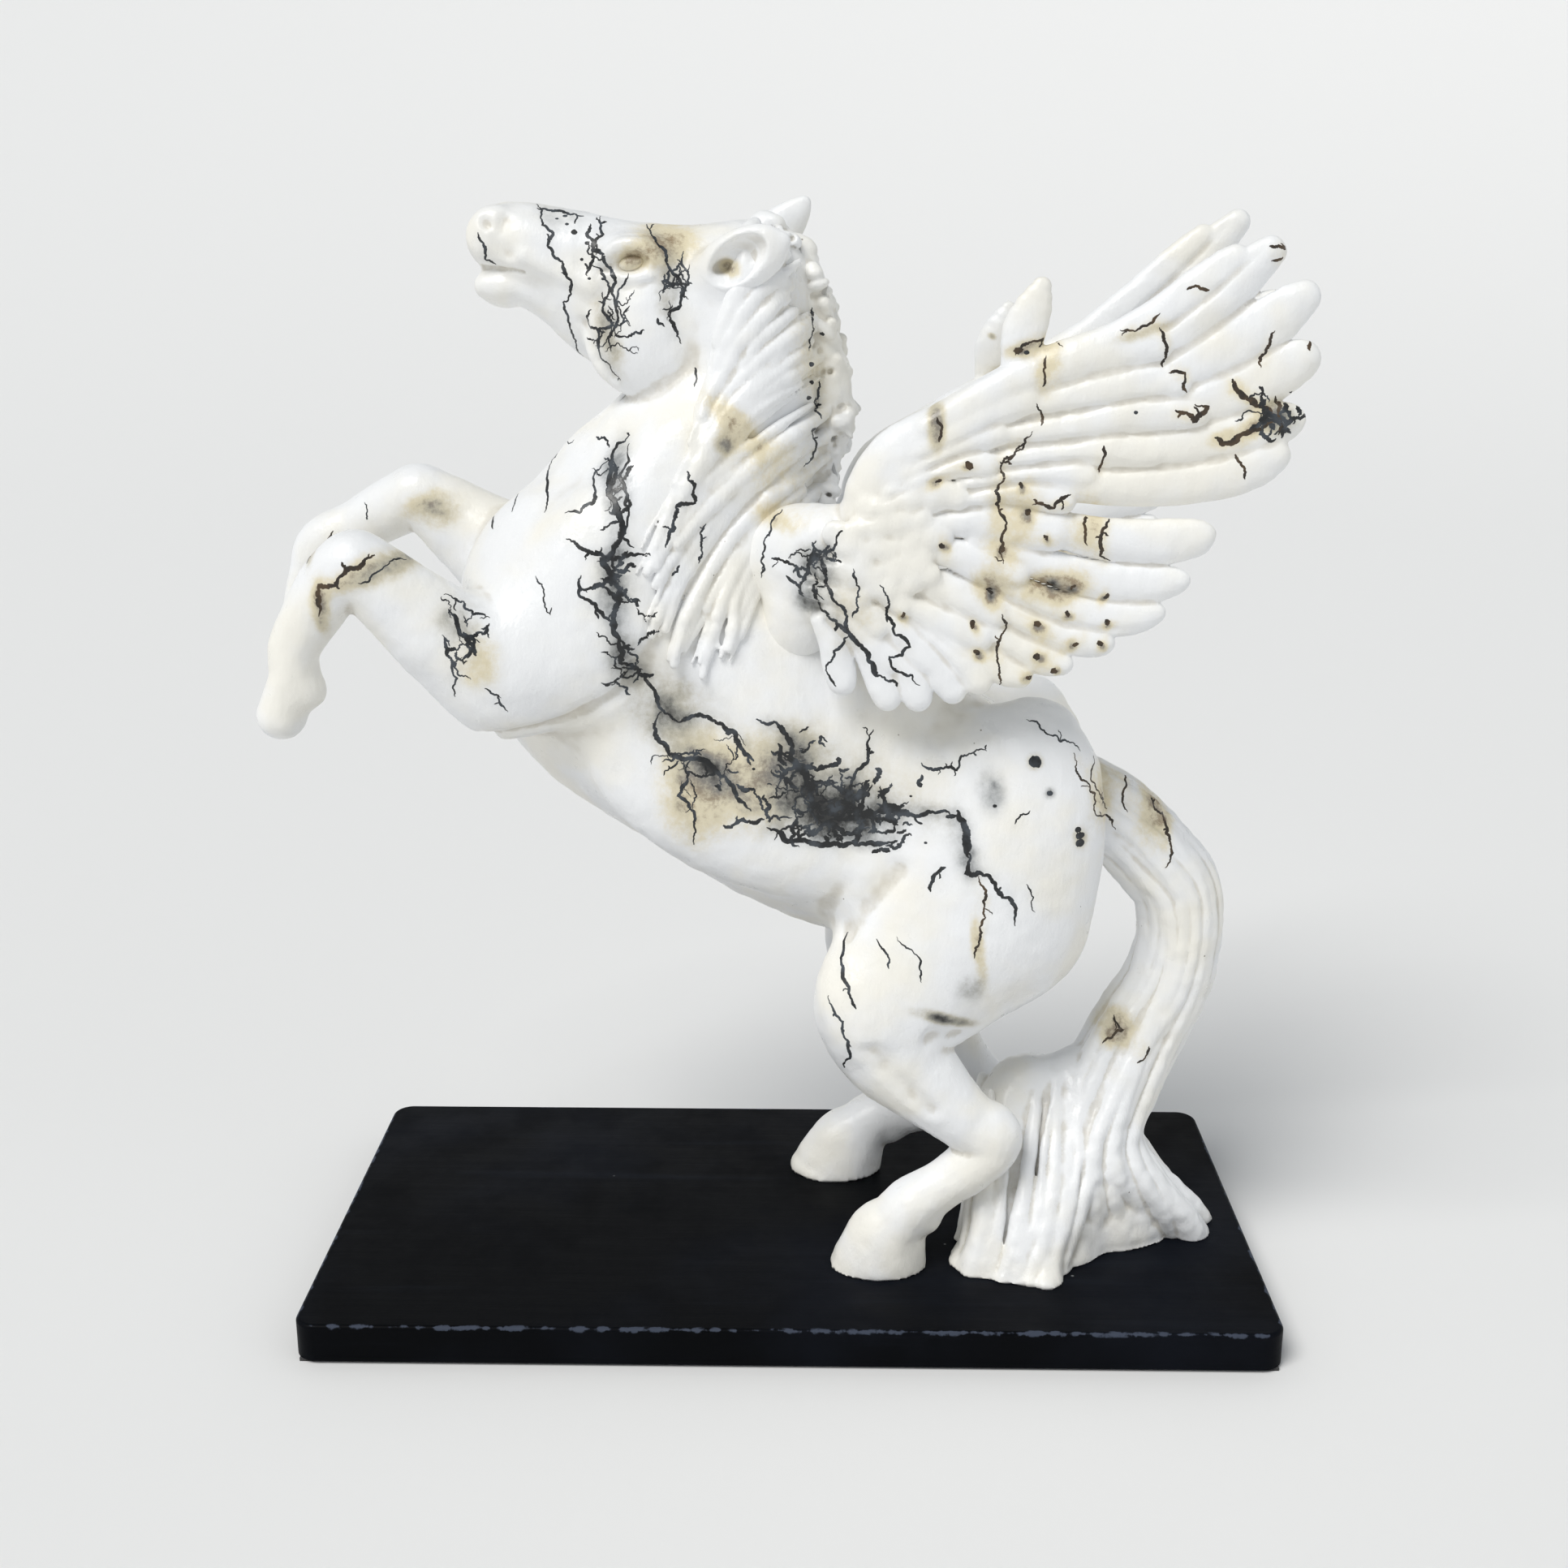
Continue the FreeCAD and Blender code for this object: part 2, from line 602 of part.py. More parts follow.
# ---------------------------------------------------------------- assembly
def build():
    nodes = {}
    studs, washers, nuts, cutters = make_fixings()
    nodes["felt_sheet"] = make_felt()
    nodes["plinth_board"] = cut("board", make_board(), *cutters)
    nodes["mounting_studs"] = group("StudGroup", studs)
    nodes["stud_washers"] = group("WasherGroup", washers)
    nodes["stud_nuts"] = group("NutGroup", nuts)

    torso_outside, torso = make_torso()
    head = limb("head", HEAD)
    eyes = {}
    for side, word in ((-1, "left"), (1, "right")):
        centre = ("-62", str(side * 20.2), "428.5")
        eyes[word] = ball(f"{word}_eye", cell("eye_radius"), centre)
        nodes[f"{word}_eyeball"] = eyes[word]
    nodes["head"] = cut("head", head, eyes["left"], eyes["right"])
    neck = cut("neck", limb("neck", NECK), torso_outside, head)

    wings = {}
    for side, word in ((-1, "left"), (1, "right")):
        wings.update(make_wing(side, word))
    arms = [wings["left_wing_arm"], wings["right_wing_arm"]]
    panels = [wings["left_covert_panel"], wings["right_covert_panel"]]
    nodes.update(wings)

    legs = {
        "left_foreleg": limb("left_foreleg", LEFT_FORELEG),
        "right_foreleg": limb("right_foreleg", RIGHT_FORELEG),
        "left_hind_leg": limb("left_hind_leg", LEFT_HIND_LEG, grounded=True),
        "right_hind_leg": limb("right_hind_leg", RIGHT_HIND_LEG, grounded=True),
    }
    nodes["left_foreleg"] = cut("left_foreleg", legs["left_foreleg"], torso_outside)
    nodes["right_foreleg"] = cut("right_foreleg", legs["right_foreleg"], torso_outside)
    nodes["left_hind_leg"] = cut("left_hind", legs["left_hind_leg"], torso_outside, studs[0])
    nodes["right_hind_leg"] = cut("right_hind", legs["right_hind_leg"], torso_outside, studs[1])
    tail = limb("tail", TAIL, grounded=True, twist=20.0)
    tail_tools = [torso_outside, legs["left_hind_leg"], legs["right_hind_leg"], studs[2], studs[3]]
    nodes["tail"] = cut("tail", tail, *tail_tools)

    nodes["torso"] = cut("torso_trim", torso, *arms, *panels)
    nodes["neck"] = cut("neck_trim", neck, *arms)
    for side, word in ((-1, "left"), (1, "right")):
        nodes[f"{word}_ear"] = cut(f"{word}_ear", make_ear(side, f"{word}_ear"), head)
    crest = limb("mane_crest", MANE_CREST)
    nodes["mane_crest"] = cut("crest", crest, neck, head, torso_outside)
    for side, word in ((-1, "left"), (1, "right")):
        locks = []
        for number, lock in enumerate(make_locks(side, f"{word}_lock"), 1):
            trims = [neck, head, crest, torso_outside, wings[f"{word}_wing_arm"]]
            locks.append(cut(f"{word}_lock_{number}", lock, *trims))
        nodes[f"mane_locks_{word}"] = group(f"{word}_mane", locks)
    return nodes


def check_and_write(nodes):
    doc.recompute()
    for thing in doc.Objects:
        failed = [state for state in thing.State if state in ("Invalid", "Error")]
        if failed:
            raise RuntimeError(f"{thing.Name} is {failed}")
    os.makedirs("parts", exist_ok=True)
    for label, thing in nodes.items():
        thing.Label = label
        shape = thing.Shape
        if shape.isNull() or not shape.isValid() or not shape.Solids:
            raise RuntimeError(f"{label} has no valid solid")
        shape.exportStep(f"parts/{label}.step")
        print(f"{label:28s} solids {len(shape.Solids):2d}  volume {shape.Volume / 1000:9.2f} cm3")


write_sheet()
check_and_write(build())
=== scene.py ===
"""Looks of the winged horse: white burnished clay with smoke veins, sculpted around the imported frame.

Clay is worked as blocks of signed distances, in millimetres, in the frame of the CAD: shapes are
blended in or carved out, and the skin at distance zero becomes the mesh. The horse faces -X, its
left side is -Y and the board's top is at BOARD_TOP.
"""
import math
import random

import bpy
import numpy as np
import openvdb
from mathutils import Euler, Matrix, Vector
from mathutils.bvhtree import BVHTree


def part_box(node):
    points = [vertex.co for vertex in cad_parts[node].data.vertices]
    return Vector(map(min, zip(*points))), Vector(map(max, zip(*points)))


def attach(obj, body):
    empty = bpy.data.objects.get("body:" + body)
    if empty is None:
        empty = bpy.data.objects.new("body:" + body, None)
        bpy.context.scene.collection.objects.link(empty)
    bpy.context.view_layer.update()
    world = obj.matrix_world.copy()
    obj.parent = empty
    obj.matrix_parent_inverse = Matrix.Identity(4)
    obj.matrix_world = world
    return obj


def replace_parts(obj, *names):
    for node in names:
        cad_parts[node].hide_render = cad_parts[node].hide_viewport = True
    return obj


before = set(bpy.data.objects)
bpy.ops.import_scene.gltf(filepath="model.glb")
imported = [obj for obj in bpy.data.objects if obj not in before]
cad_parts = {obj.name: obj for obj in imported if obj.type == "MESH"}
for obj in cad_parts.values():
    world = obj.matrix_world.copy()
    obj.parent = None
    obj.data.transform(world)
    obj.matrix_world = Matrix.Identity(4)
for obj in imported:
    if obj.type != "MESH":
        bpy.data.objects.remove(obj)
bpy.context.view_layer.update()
MM = 0.001
BODY = "root"
BOARD_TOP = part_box("plinth_board")[1][2] / MM
LEFT, RIGHT = -1, 1
# Distance to the skin that empty clay starts with.
FAR = 40.0
# Steps between two points of a run that lies over the skin.
DRAPE_STEPS = 4
# Rounds of smoothing that relief is measured against, and the depth that counts as full. Relief sets the
# clay's painted shade in hollows.
RELIEF_ROUNDS, RELIEF_FULL = 9, 0.5
# Islands of a label with fewer triangles go to a neighbour.
SMALLEST_ISLAND = 400


# ---------------------------------------------------------------- clay
def smooth_min(a, b, blend):
    if blend <= 0:
        return np.minimum(a, b)
    near = np.maximum(blend - np.abs(a - b), 0)
    return np.minimum(a, b) - near * near * (0.25 / blend)


def smooth_path(stations, steps):
    """Catmull-Rom through the stations, all their numbers alike."""
    points = np.array(stations, float)
    padded = np.vstack([2 * points[0] - points[1], points, 2 * points[-1] - points[-2]])
    path = []
    for p0, p1, p2, p3 in zip(padded, padded[1:], padded[2:], padded[3:]):
        for step in range(steps):
            t = step / steps
            bend = (2 * p0 - 5 * p1 + 4 * p2 - p3) * t * t + (3 * p1 - p0 - 3 * p2 + p3) * t**3
            path.append(0.5 * (2 * p1 + (p2 - p0) * t + bend))
    path.append(points[-1])
    return np.array(path)


def run_distance(lines, a, b):
    """Distance to one run between stations (x, y, z, deep, half), round in its own stretched section."""
    x, y, z = lines
    step = b[:3] - a[:3]
    along = ((x - a[0]) * step[0] + (y - a[1]) * step[1] + (z - a[2]) * step[2]) / max(step @ step, 1e-6)
    along = np.clip(along, 0, 1)
    deep = a[3] + (b[3] - a[3]) * along
    half = a[4] + (b[4] - a[4]) * along
    in_plane = (x - a[0] - step[0] * along) ** 2 + (z - a[2] - step[2] * along) ** 2
    across = (y - a[1] - step[1] * along) ** 2
    level = np.sqrt(in_plane / deep**2 + across / half**2)
    slope = np.sqrt(in_plane / deep**4 + across / half**4)
    return (level - 1) * (level + 1e-3) / (slope + 1e-3 / half)


class Clay:
    """A block of clay: distances to its skin on a grid, negative inside."""

    def __init__(self, low, high, pitch):
        self.low = np.array(low, float)
        self.pitch = pitch
        self.shape = [int((top - bottom) / pitch) + 2 for bottom, top in zip(low, high)]
        self.field = np.full(self.shape, FAR, np.float32)

    def window(self, low, high):
        """The slices and grid lines of the part of the block inside a box."""
        cuts, lines = [], []
        for axis in range(3):
            first = max(int((low[axis] - self.low[axis]) / self.pitch), 0)
            last = min(int((high[axis] - self.low[axis]) / self.pitch) + 2, self.shape[axis])
            last = max(first, last)
            line = self.low[axis] + self.pitch * np.arange(first, last)
            cuts.append(slice(first, last))
            lines.append(line.astype(np.float32).reshape([-1 if axis == a else 1 for a in range(3)]))
        return tuple(cuts), lines

    def limb(self, stations, blend=0.0, steps=5, carve=False):
        """Blends in a run of stations (x, y, z, deep, half) as one shape."""
        path = smooth_path(stations, steps)
        reach = path[:, 3:].max() + 1.2 * blend + 2 * self.pitch
        cuts, _ = self.window(path[:, :3].min(0) - reach, path[:, :3].max(0) + reach)
        start = self.low + self.pitch * np.array([cut.start for cut in cuts])
        part = Clay(start, start, self.pitch)
        part.shape = [cut.stop - cut.start for cut in cuts]
        part.field = np.full(part.shape, FAR, np.float32)
        for a, b in zip(path, path[1:]):
            reach = max(a[3:].max(), b[3:].max()) + 1.2 * blend + 2 * self.pitch
            inner, lines = part.window(np.minimum(a, b)[:3] - reach, np.maximum(a, b)[:3] + reach)
            if part.field[inner].size:
                part.field[inner] = np.minimum(part.field[inner], run_distance(lines, a, b))
        self.merge(cuts, part.field, blend, carve)

    def blob(self, centre, radii, turn=0.0, yaw=0.0, blend=6.0, carve=False):
        """An ellipsoid. Positive turn lifts its -X end; yaw swings it about Z. Degrees."""
        reach = max(radii) + 1.2 * blend + 2 * self.pitch
        centre = np.array(centre, float)
        cuts, (x, y, z) = self.window(centre - reach, centre + reach)
        basis = np.array(Euler((0, math.radians(turn), math.radians(yaw))).to_matrix())
        x, y, z = x - centre[0], y - centre[1], z - centre[2]
        level = slope = 0
        for axis, radius in zip(basis.T, radii):
            offset = (axis[0] * x + axis[1] * y + axis[2] * z) ** 2
            level = level + offset / radius**2
            slope = slope + offset / radius**4
        level, slope = np.sqrt(level), np.sqrt(slope)
        distance = (level - 1) * (level + 1e-3) / (slope + 1e-3 / min(radii))
        self.merge(cuts, distance.astype(np.float32), blend, carve)

    def merge(self, cuts, distance, blend, carve=False):
        old = self.field[cuts]
        if carve:
            self.field[cuts] = -smooth_min(-old, distance, blend)
        else:
            self.field[cuts] = smooth_min(old, distance, blend)

    def clip_below(self, level):
        _, (_, _, z) = self.window(self.low, self.low + self.pitch * np.array(self.shape))
        self.field = np.maximum(self.field, level - z[:, :, : self.shape[2]])

    def skin_y(self, x, z, side):
        """Where the skin lies at x, z, seen from one side. None where there is no clay."""
        i = int(round((x - self.low[0]) / self.pitch))
        k = int(round((z - self.low[2]) / self.pitch))
        if not (0 <= i < self.shape[0] and 0 <= k < self.shape[2]):
            return None
        column = self.field[i, :, k]
        inside = np.flatnonzero(column < 0)
        if not len(inside):
            return None
        j = inside[0] if side < 0 else inside[-1]
        if not 0 < j < self.shape[1] - 1:
            return None
        share = column[j] / (column[j] - column[j + side])
        return self.low[1] + self.pitch * (j + side * share)

    def drape(self, points, side, rise, blend, carve):
        """A run over the skin. Points are (x, z, radius); rise(radius) is how far out a middle lies."""
        stations = []
        for x, z, radius in smooth_path(points, DRAPE_STEPS):
            y = self.skin_y(x, z, side)
            if y is not None:
                stations.append((x, y + side * rise(radius), z, radius, radius))
        if len(stations) > 1:
            self.limb(stations, blend, steps=1, carve=carve)

    def ridge(self, points, side, lift, blend):
        self.drape(points, side, lambda radius: lift - radius, blend, False)

    def groove(self, points, side, deep, blend):
        self.drape(points, side, lambda radius: radius - deep, blend, True)

    def skin(self):
        """Points and triangles of the skin, each point slid onto distance zero."""
        grid = openvdb.FloatGrid(FAR)
        grid.copyFromArray(np.clip(self.field, -FAR, FAR))
        points, _, quads = grid.convertToPolygons(isovalue=0.0, adaptivity=0.0)
        points = np.asarray(points, float)
        for _ in range(2):
            value, slope = self.sample(points)
            points -= (value / np.maximum((slope**2).sum(1), 0.2))[:, None] * slope
        quads = np.asarray(quads, np.int64)
        return points * self.pitch + self.low, np.vstack([quads[:, [0, 1, 2]], quads[:, [0, 2, 3]]])

    def sample(self, points):
        """Trilinear value and slope of the field at points in grid units."""
        cell = np.clip(np.floor(points).astype(int), 0, np.array(self.shape) - 2)
        part = points - cell
        corner = {}
        for i in (0, 1):
            for j in (0, 1):
                for k in (0, 1):
                    corner[i, j, k] = self.field[cell[:, 0] + i, cell[:, 1] + j, cell[:, 2] + k]
        u, v, w = part.T

        def mix(low, high, share):
            return low + (high - low) * share

        faces = {(j, k): mix(corner[0, j, k], corner[1, j, k], u) for j in (0, 1) for k in (0, 1)}
        rails = [mix(faces[0, k], faces[1, k], v) for k in (0, 1)]
        value = mix(rails[0], rails[1], w)
        slope_z = rails[1] - rails[0]
        slope_y = mix(faces[1, 0] - faces[0, 0], faces[1, 1] - faces[0, 1], w)
        steps_x = {(j, k): corner[1, j, k] - corner[0, j, k] for j in (0, 1) for k in (0, 1)}
        slope_x = mix(mix(steps_x[0, 0], steps_x[1, 0], v), mix(steps_x[0, 1], steps_x[1, 1], v), w)
        return value, np.stack([slope_x, slope_y, slope_z], 1)


NOISE_SIZE = 32
NOISE_TABLE = np.random.default_rng(11).uniform(-1, 1, (NOISE_SIZE,) * 3)


def lattice_noise(points, size):
    """Smooth noise from -1 to 1 whose lumps are size across."""
    points = points / size + 1000.0
    cell = np.floor(points).astype(int)
    part = points - cell
    part = part * part * (3 - 2 * part)
    total = 0
    for i in (0, 1):
        for j in (0, 1):
            for k in (0, 1):
                weight = 1
                for axis, bit in enumerate((i, j, k)):
                    weight = weight * (part[:, axis] if bit else 1 - part[:, axis])
                index = [(cell[:, axis] + bit) % NOISE_SIZE for axis, bit in enumerate((i, j, k))]
                total = total + weight * NOISE_TABLE[index[0], index[1], index[2]]
    return total


def spread(weights, corners, count):
    """Sums of rows of weights at the points that corners name."""
    return np.stack([np.bincount(corners, column, count) for column in weights.T], 1)


def vertex_normals(points, faces):
    a, b, c = (points[faces[:, corner]] for corner in range(3))
    across = np.cross(b - a, c - a)
    normals = sum(spread(across, faces[:, corner], len(points)) for corner in range(3))
    return normals / np.maximum(np.linalg.norm(normals, axis=1), 1e-9)[:, None]


def relief(points, faces, normals):
    """How far each point lies above (under 0.5) or below (over 0.5) the smoothed skin."""
    smooth = points
    starts, stops = faces.ravel(), np.roll(faces, -1, 1).ravel()
    counts = np.bincount(starts, minlength=len(points))[:, None]
    for _ in range(RELIEF_ROUNDS):
        smooth = spread(smooth[stops], starts, len(points)) / np.maximum(counts, 1)
    depth = ((smooth - points) * normals).sum(1)
    return np.clip(0.5 + 0.5 * depth / RELIEF_FULL, 0, 1)


class Skin:
    """The worked surface of a block of clay, in millimetres."""

    def __init__(self, clay, coarse=0.42, fine=0.2):
        points, faces = clay.skin()
        lift = coarse * lattice_noise(points, 13.0) + fine * lattice_noise(points + 31.0, 4.5)
        self.points = points + vertex_normals(points, faces) * lift[:, None]
        self.faces = faces
        self.normals = vertex_normals(self.points, faces)
        self.relief = relief(self.points, faces, self.normals)

    def middles(self):
        return self.points[self.faces].mean(1)

    def meet_plane(self, labels, place, normal, low, high):
        """Slides the points where two labels meet onto a plane, so that the seam is straight."""
        pieces = np.unique(labels, return_inverse=True)[1]
        most, least = np.zeros(len(self.points)), np.full(len(self.points), 1e9)
        for corner in range(3):
            np.maximum.at(most, self.faces[:, corner], pieces)
            np.minimum.at(least, self.faces[:, corner], pieces)
        inside = ((self.points > low) & (self.points < high)).all(1)
        seam = (most != least) & inside
        normal = np.array(normal) / np.linalg.norm(normal)
        off = (self.points[seam] - place) @ normal
        slide = normal - (self.normals[seam] @ normal)[:, None] * self.normals[seam]
        reach = np.maximum((slide @ normal), 0.3)
        self.points[seam] -= slide * (off / reach)[:, None]

    def pieces(self, labels, wall=0.0):
        """Parts the skin by label: label, (points, faces, normals, relief, number of faces of skin).

        With a wall, each part is closed by an inner face that deep. Without, its rims get caps.
        """
        for label in sorted(set(labels)):
            chosen = self.faces[labels == label]
            used, faces = np.unique(chosen, return_inverse=True)
            faces = faces.reshape(-1, 3)
            close = line_inside if wall else cap_rims
            points, extra = close(self.points[used], faces, self.normals[used], wall)
            added = len(points) - len(used)
            normals = np.vstack([self.normals[used], np.tile((0.0, 0.0, 1.0), (added, 1))])
            heights = np.concatenate([self.relief[used], np.full(added, 0.5)])
            yield str(label), (points, np.vstack([faces, extra]), normals, heights, len(faces))


def open_edges(points, faces):
    """The edges with one triangle, as arrays of their starts and stops."""
    starts, stops = faces.ravel(), np.roll(faces, -1, 1).ravel()
    keys = np.minimum(starts, stops) * len(points) + np.maximum(starts, stops)
    _, first, count = np.unique(keys, return_index=True, return_counts=True)
    return starts[first[count == 1]], stops[first[count == 1]]


def line_inside(points, faces, normals, wall):
    """A second skin inside the first, joined to it round the rims."""
    starts, stops = open_edges(points, faces)
    count = len(points)
    walls = np.vstack([np.stack([stops, starts, starts + count], 1),
                       np.stack([stops, starts + count, stops + count], 1)])
    return np.vstack([points, points - wall * normals]), np.vstack([faces[:, ::-1] + count, walls])


def cap_rims(points, faces, normals, _):
    """Closes the open rims of a skin with fans around points inside it."""
    follow = {}
    for start, stop in zip(*open_edges(points, faces)):
        follow.setdefault(int(stop), []).append(int(start))
    hubs, fans = [], []
    while follow:
        loop = [next(iter(follow))]
        while True:
            nearer = follow[loop[-1]].pop()
            if not follow[loop[-1]]:
                del follow[loop[-1]]
            if nearer == loop[0]:
                break
            loop.append(nearer)
        hub = len(points) + len(hubs)
        depth = min(3.0, 0.02 * len(loop))
        hubs.append(points[loop].mean(0) - depth * normals[loop].mean(0))
        fans += [(a, b, hub) for a, b in zip(loop, loop[1:] + loop[:1])]
    return np.vstack([points, *hubs]), np.array(fans).reshape(-1, 3).astype(int)


def face_pairs(faces):
    """The pairs of triangles that share an edge."""
    edges = np.sort(np.stack([faces, np.roll(faces, -1, 1)], 2).reshape(-1, 2), 1)
    owners = np.repeat(np.arange(len(faces)), 3)
    order = np.lexsort(edges.T)
    same = (edges[order][1:] == edges[order][:-1]).all(1)
    return owners[order][:-1][same], owners[order][1:][same]


def tidy_labels(faces, labels):
    """Gives each small island of a label to a neighbour."""
    first, second = face_pairs(faces)
    alike = labels[first] == labels[second]
    group = np.arange(len(faces))
    while True:
        a, b = group[first[alike]], group[second[alike]]
        joined = group.copy()
        np.minimum.at(joined, np.maximum(a, b), np.minimum(a, b))
        joined = joined[joined][group]
        if (joined == group).all():
            break
        group = joined
    small = np.bincount(group, minlength=len(faces))[group] < SMALLEST_ISLAND
    while small.any():
        count = small.sum()
        for one, other in ((first, second), (second, first)):
            change = small[one] & ~small[other]
            labels[one[change]] = labels[other[change]]
            small[one[change]] = False
        if small.sum() == count:
            break
    return labels


# Points, triangles and normals of each clay piece, for the veins to lie on.
SURFACES = []


def add_piece(name, mesh, material):
    mesh.materials.append(material)
    piece = bpy.data.objects.new(name, mesh)
    bpy.context.collection.objects.link(piece)
    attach(piece, BODY)
    return piece


def make_object(name, part, node_names, material):
    """A piece of the model from a part of a skin, in millimetres. Closing faces are shaded flat."""
    points, faces, normals, heights, skinned = part
    mesh = bpy.data.meshes.new(name)
    mesh.from_pydata((points * MM).tolist(), [], faces.tolist())
    mesh.polygons.foreach_set("use_smooth", [True] * len(mesh.polygons))
    soot, fume = smoke_at(points)
    marks = np.stack([soot, fume, heights, np.ones(len(points))], 1)
    mesh.attributes.new("marks", "FLOAT_COLOR", "POINT").data.foreach_set("color", marks.ravel())
    mesh.update()
    a, b, c = (points[faces[skinned:, corner]] for corner in range(3))
    flat = np.cross(b - a, c - a)
    flat /= np.maximum(np.linalg.norm(flat, axis=1), 1e-9)[:, None]
    corners = np.vstack([normals[faces[:skinned].ravel()], np.repeat(flat, 3, axis=0)])
    mesh.normals_split_custom_set(corners.tolist())
    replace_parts(add_piece(name, mesh, material), *node_names)
    SURFACES.append((points, faces[:skinned], normals))


def whole(skin):
    return skin.points, skin.faces, skin.normals, skin.relief, len(skin.faces)


# ---------------------------------------------------------------- smoke: soot and fume on the clay
# Clouds of smoke: x, z, reach along, reach across, turn in degrees, soot, fume.
LEFT_CLOUDS = [
    (14, 222, 18, 13, -10, 0.80, 0.3),
    (30, 214, 16, 9, 0, 0.45, 0.1),
    (2, 243, 11, 13, 0, 0.45, 0.5),
    (57, 219, 12, 5, 0, 0.15, 0.1),
    (34, 230, 34, 18, -10, 0.12, 0.25),
    (-30, 237, 13, 8, -30, 0.5, 0.9),
    (-38, 226, 12, 18, 0, 0.2, 0.9),
    (-12, 232, 18, 18, 0, 0.15, 0.75),
    (-48, 262, 14, 14, 0, 0.45, 0.5),
    (-64, 282, 7, 12, 0, 0.5, 0.3),
    (-66, 312, 7, 13, 0, 0.6, 0.15),
    (-66, 348, 6, 13, 0, 0.45, 0.15),
    (80, 228, 5, 8, 10, 0.62, 0.1),
    (97, 239, 3.4, 3.0, 0, 0.35, 0.5),
    (116, 208, 3.0, 4.6, 20, 0.35, 0.6),
    (103, 227, 2.4, 2.2, 0, 0.5, 0.2),
    (70, 203, 6, 12, 20, 0.35, 0.1),
    (73, 148, 6, 6, 0, 0.5, 0.3),
    (63, 135, 12, 2.6, -20, 0.75, 0.9),
    (76, 165, 2.5, 14, 10, 0.2, 0.7),
    (-70, 402, 5, 17, 15, 0.3, 0.45),
    (-47, 416, 5, 12, 0, 0.3, 0.3),
    (-48, 437, 12, 9, 0, 0.1, 0.9),
    (-61, 430, 6, 4, 0, 0.2, 0.85),
    (-87, 446, 8, 6, 0, 0.2, 0.1),
    (-21, 369, 15, 5, -45, 0.12, 0.75),
    (-25, 362, 4, 3, -45, 0.5, 0.9),
    (8, 392, 8, 40, 12, 0.05, 0.3),
    (-23, 427, 4, 3, -20, 0.35, 1.2),
    (-4, 352, 20, 14, -40, 0.05, 0.35),
    (10, 318, 8, 9, 20, 0.55, 0.3),
    (6, 305, 5, 6, 0, 0.5, 0.2),
    (24, 300, 12, 16, 0, 0.1, 0.3),
    (-6, 335, 9, 4, -10, 0.1, 0.6),
    (178, 375, 6, 6, 0, 0.6, 0.3),
    (166, 371, 12, 3, 20, 0.2, 0.6),
    (100, 312, 12, 6, 0, 0.25, 0.95),
    (76, 313, 7, 7, 0, 0.25, 0.8),
    (81, 338, 10, 16, 0, 0.1, 0.4),
    (110, 336, 8, 14, 0, 0.1, 0.4),
    (94, 392, 5, 9, 0, 0.1, 0.6),
    (126, 405, 12, 2.5, 15, 0.3, 0.5),
    (54, 372, 3, 9, 0, 0.5, 1.0),
    (86, 400, 8, 3, 10, 0.35, 0.6),
    (156, 215, 9, 20, -25, 0.25, 0.9),
    (140, 113, 8, 8, 0, 0.3, 0.8),
    (130, 225, 8, 16, -20, 0.2, 0.5),
    (-152, 319, 16, 5, 20, 0.45, 0.9),
    (-176, 304, 3, 10, 0, 0.4, 0.9),
    (-181, 327, 2, 8, 0, 0.4, 0.7),
    (-118, 283, 8, 10, 0, 0.15, 0.6),
    (-126, 298, 8, 8, 0, 0.35, 0.3),
]
RIGHT_CLOUDS = [
    (24, 228, 26, 16, 15, 0.85, 0.3),
    (-6, 238, 18, 18, 0, 0.4, 0.6),
    (-62, 300, 9, 26, 0, 0.5, 0.4),
    (-40, 256, 16, 16, 0, 0.3, 0.8),
    (84, 214, 7, 12, -15, 0.6, 0.2),
    (100, 230, 3, 3, 0, 1.2, 0.5),
    (60, 170, 6, 20, 0, 0.3, 0.6),
    (-60, 400, 6, 20, -10, 0.35, 0.6),
    (-44, 430, 10, 10, 0, 0.15, 0.8),
    (-22, 360, 12, 8, -40, 0.3, 0.9),
    (12, 302, 9, 12, 0, 0.5, 0.3),
    (182, 400, 8, 8, 0, 0.8, 0.4),
    (110, 310, 14, 7, 0, 0.3, 0.9),
    (74, 322, 12, 14, 0, 0.2, 0.6),
    (90, 380, 8, 6, 0, 0.5, 0.8),
    (150, 190, 9, 16, 0, 0.25, 0.9),
    (138, 70, 14, 12, 0, 0.2, 0.5),
    (-150, 328, 10, 7, 0, 0.4, 0.8),
    (-124, 300, 8, 10, 0, 0.4, 0.4),
]
# Scorched spots on the feathers (x, z), and the reaches that they take in turn.
BURNS = [
    (65, 357), (54, 351), (86, 349), (88, 339), (58, 327), (43, 300), (79, 325), (96, 330), (99, 313),
    (106, 311), (118, 308), (76, 309), (70, 297), (94, 297), (105, 301), (120, 298), (107, 290), (118, 290),
    (95, 285), (90, 277), (102, 280), (72, 286), (84, 398),
]
BURN_REACH = (1.5, 2.4, 1.9, 2.9, 2.1)


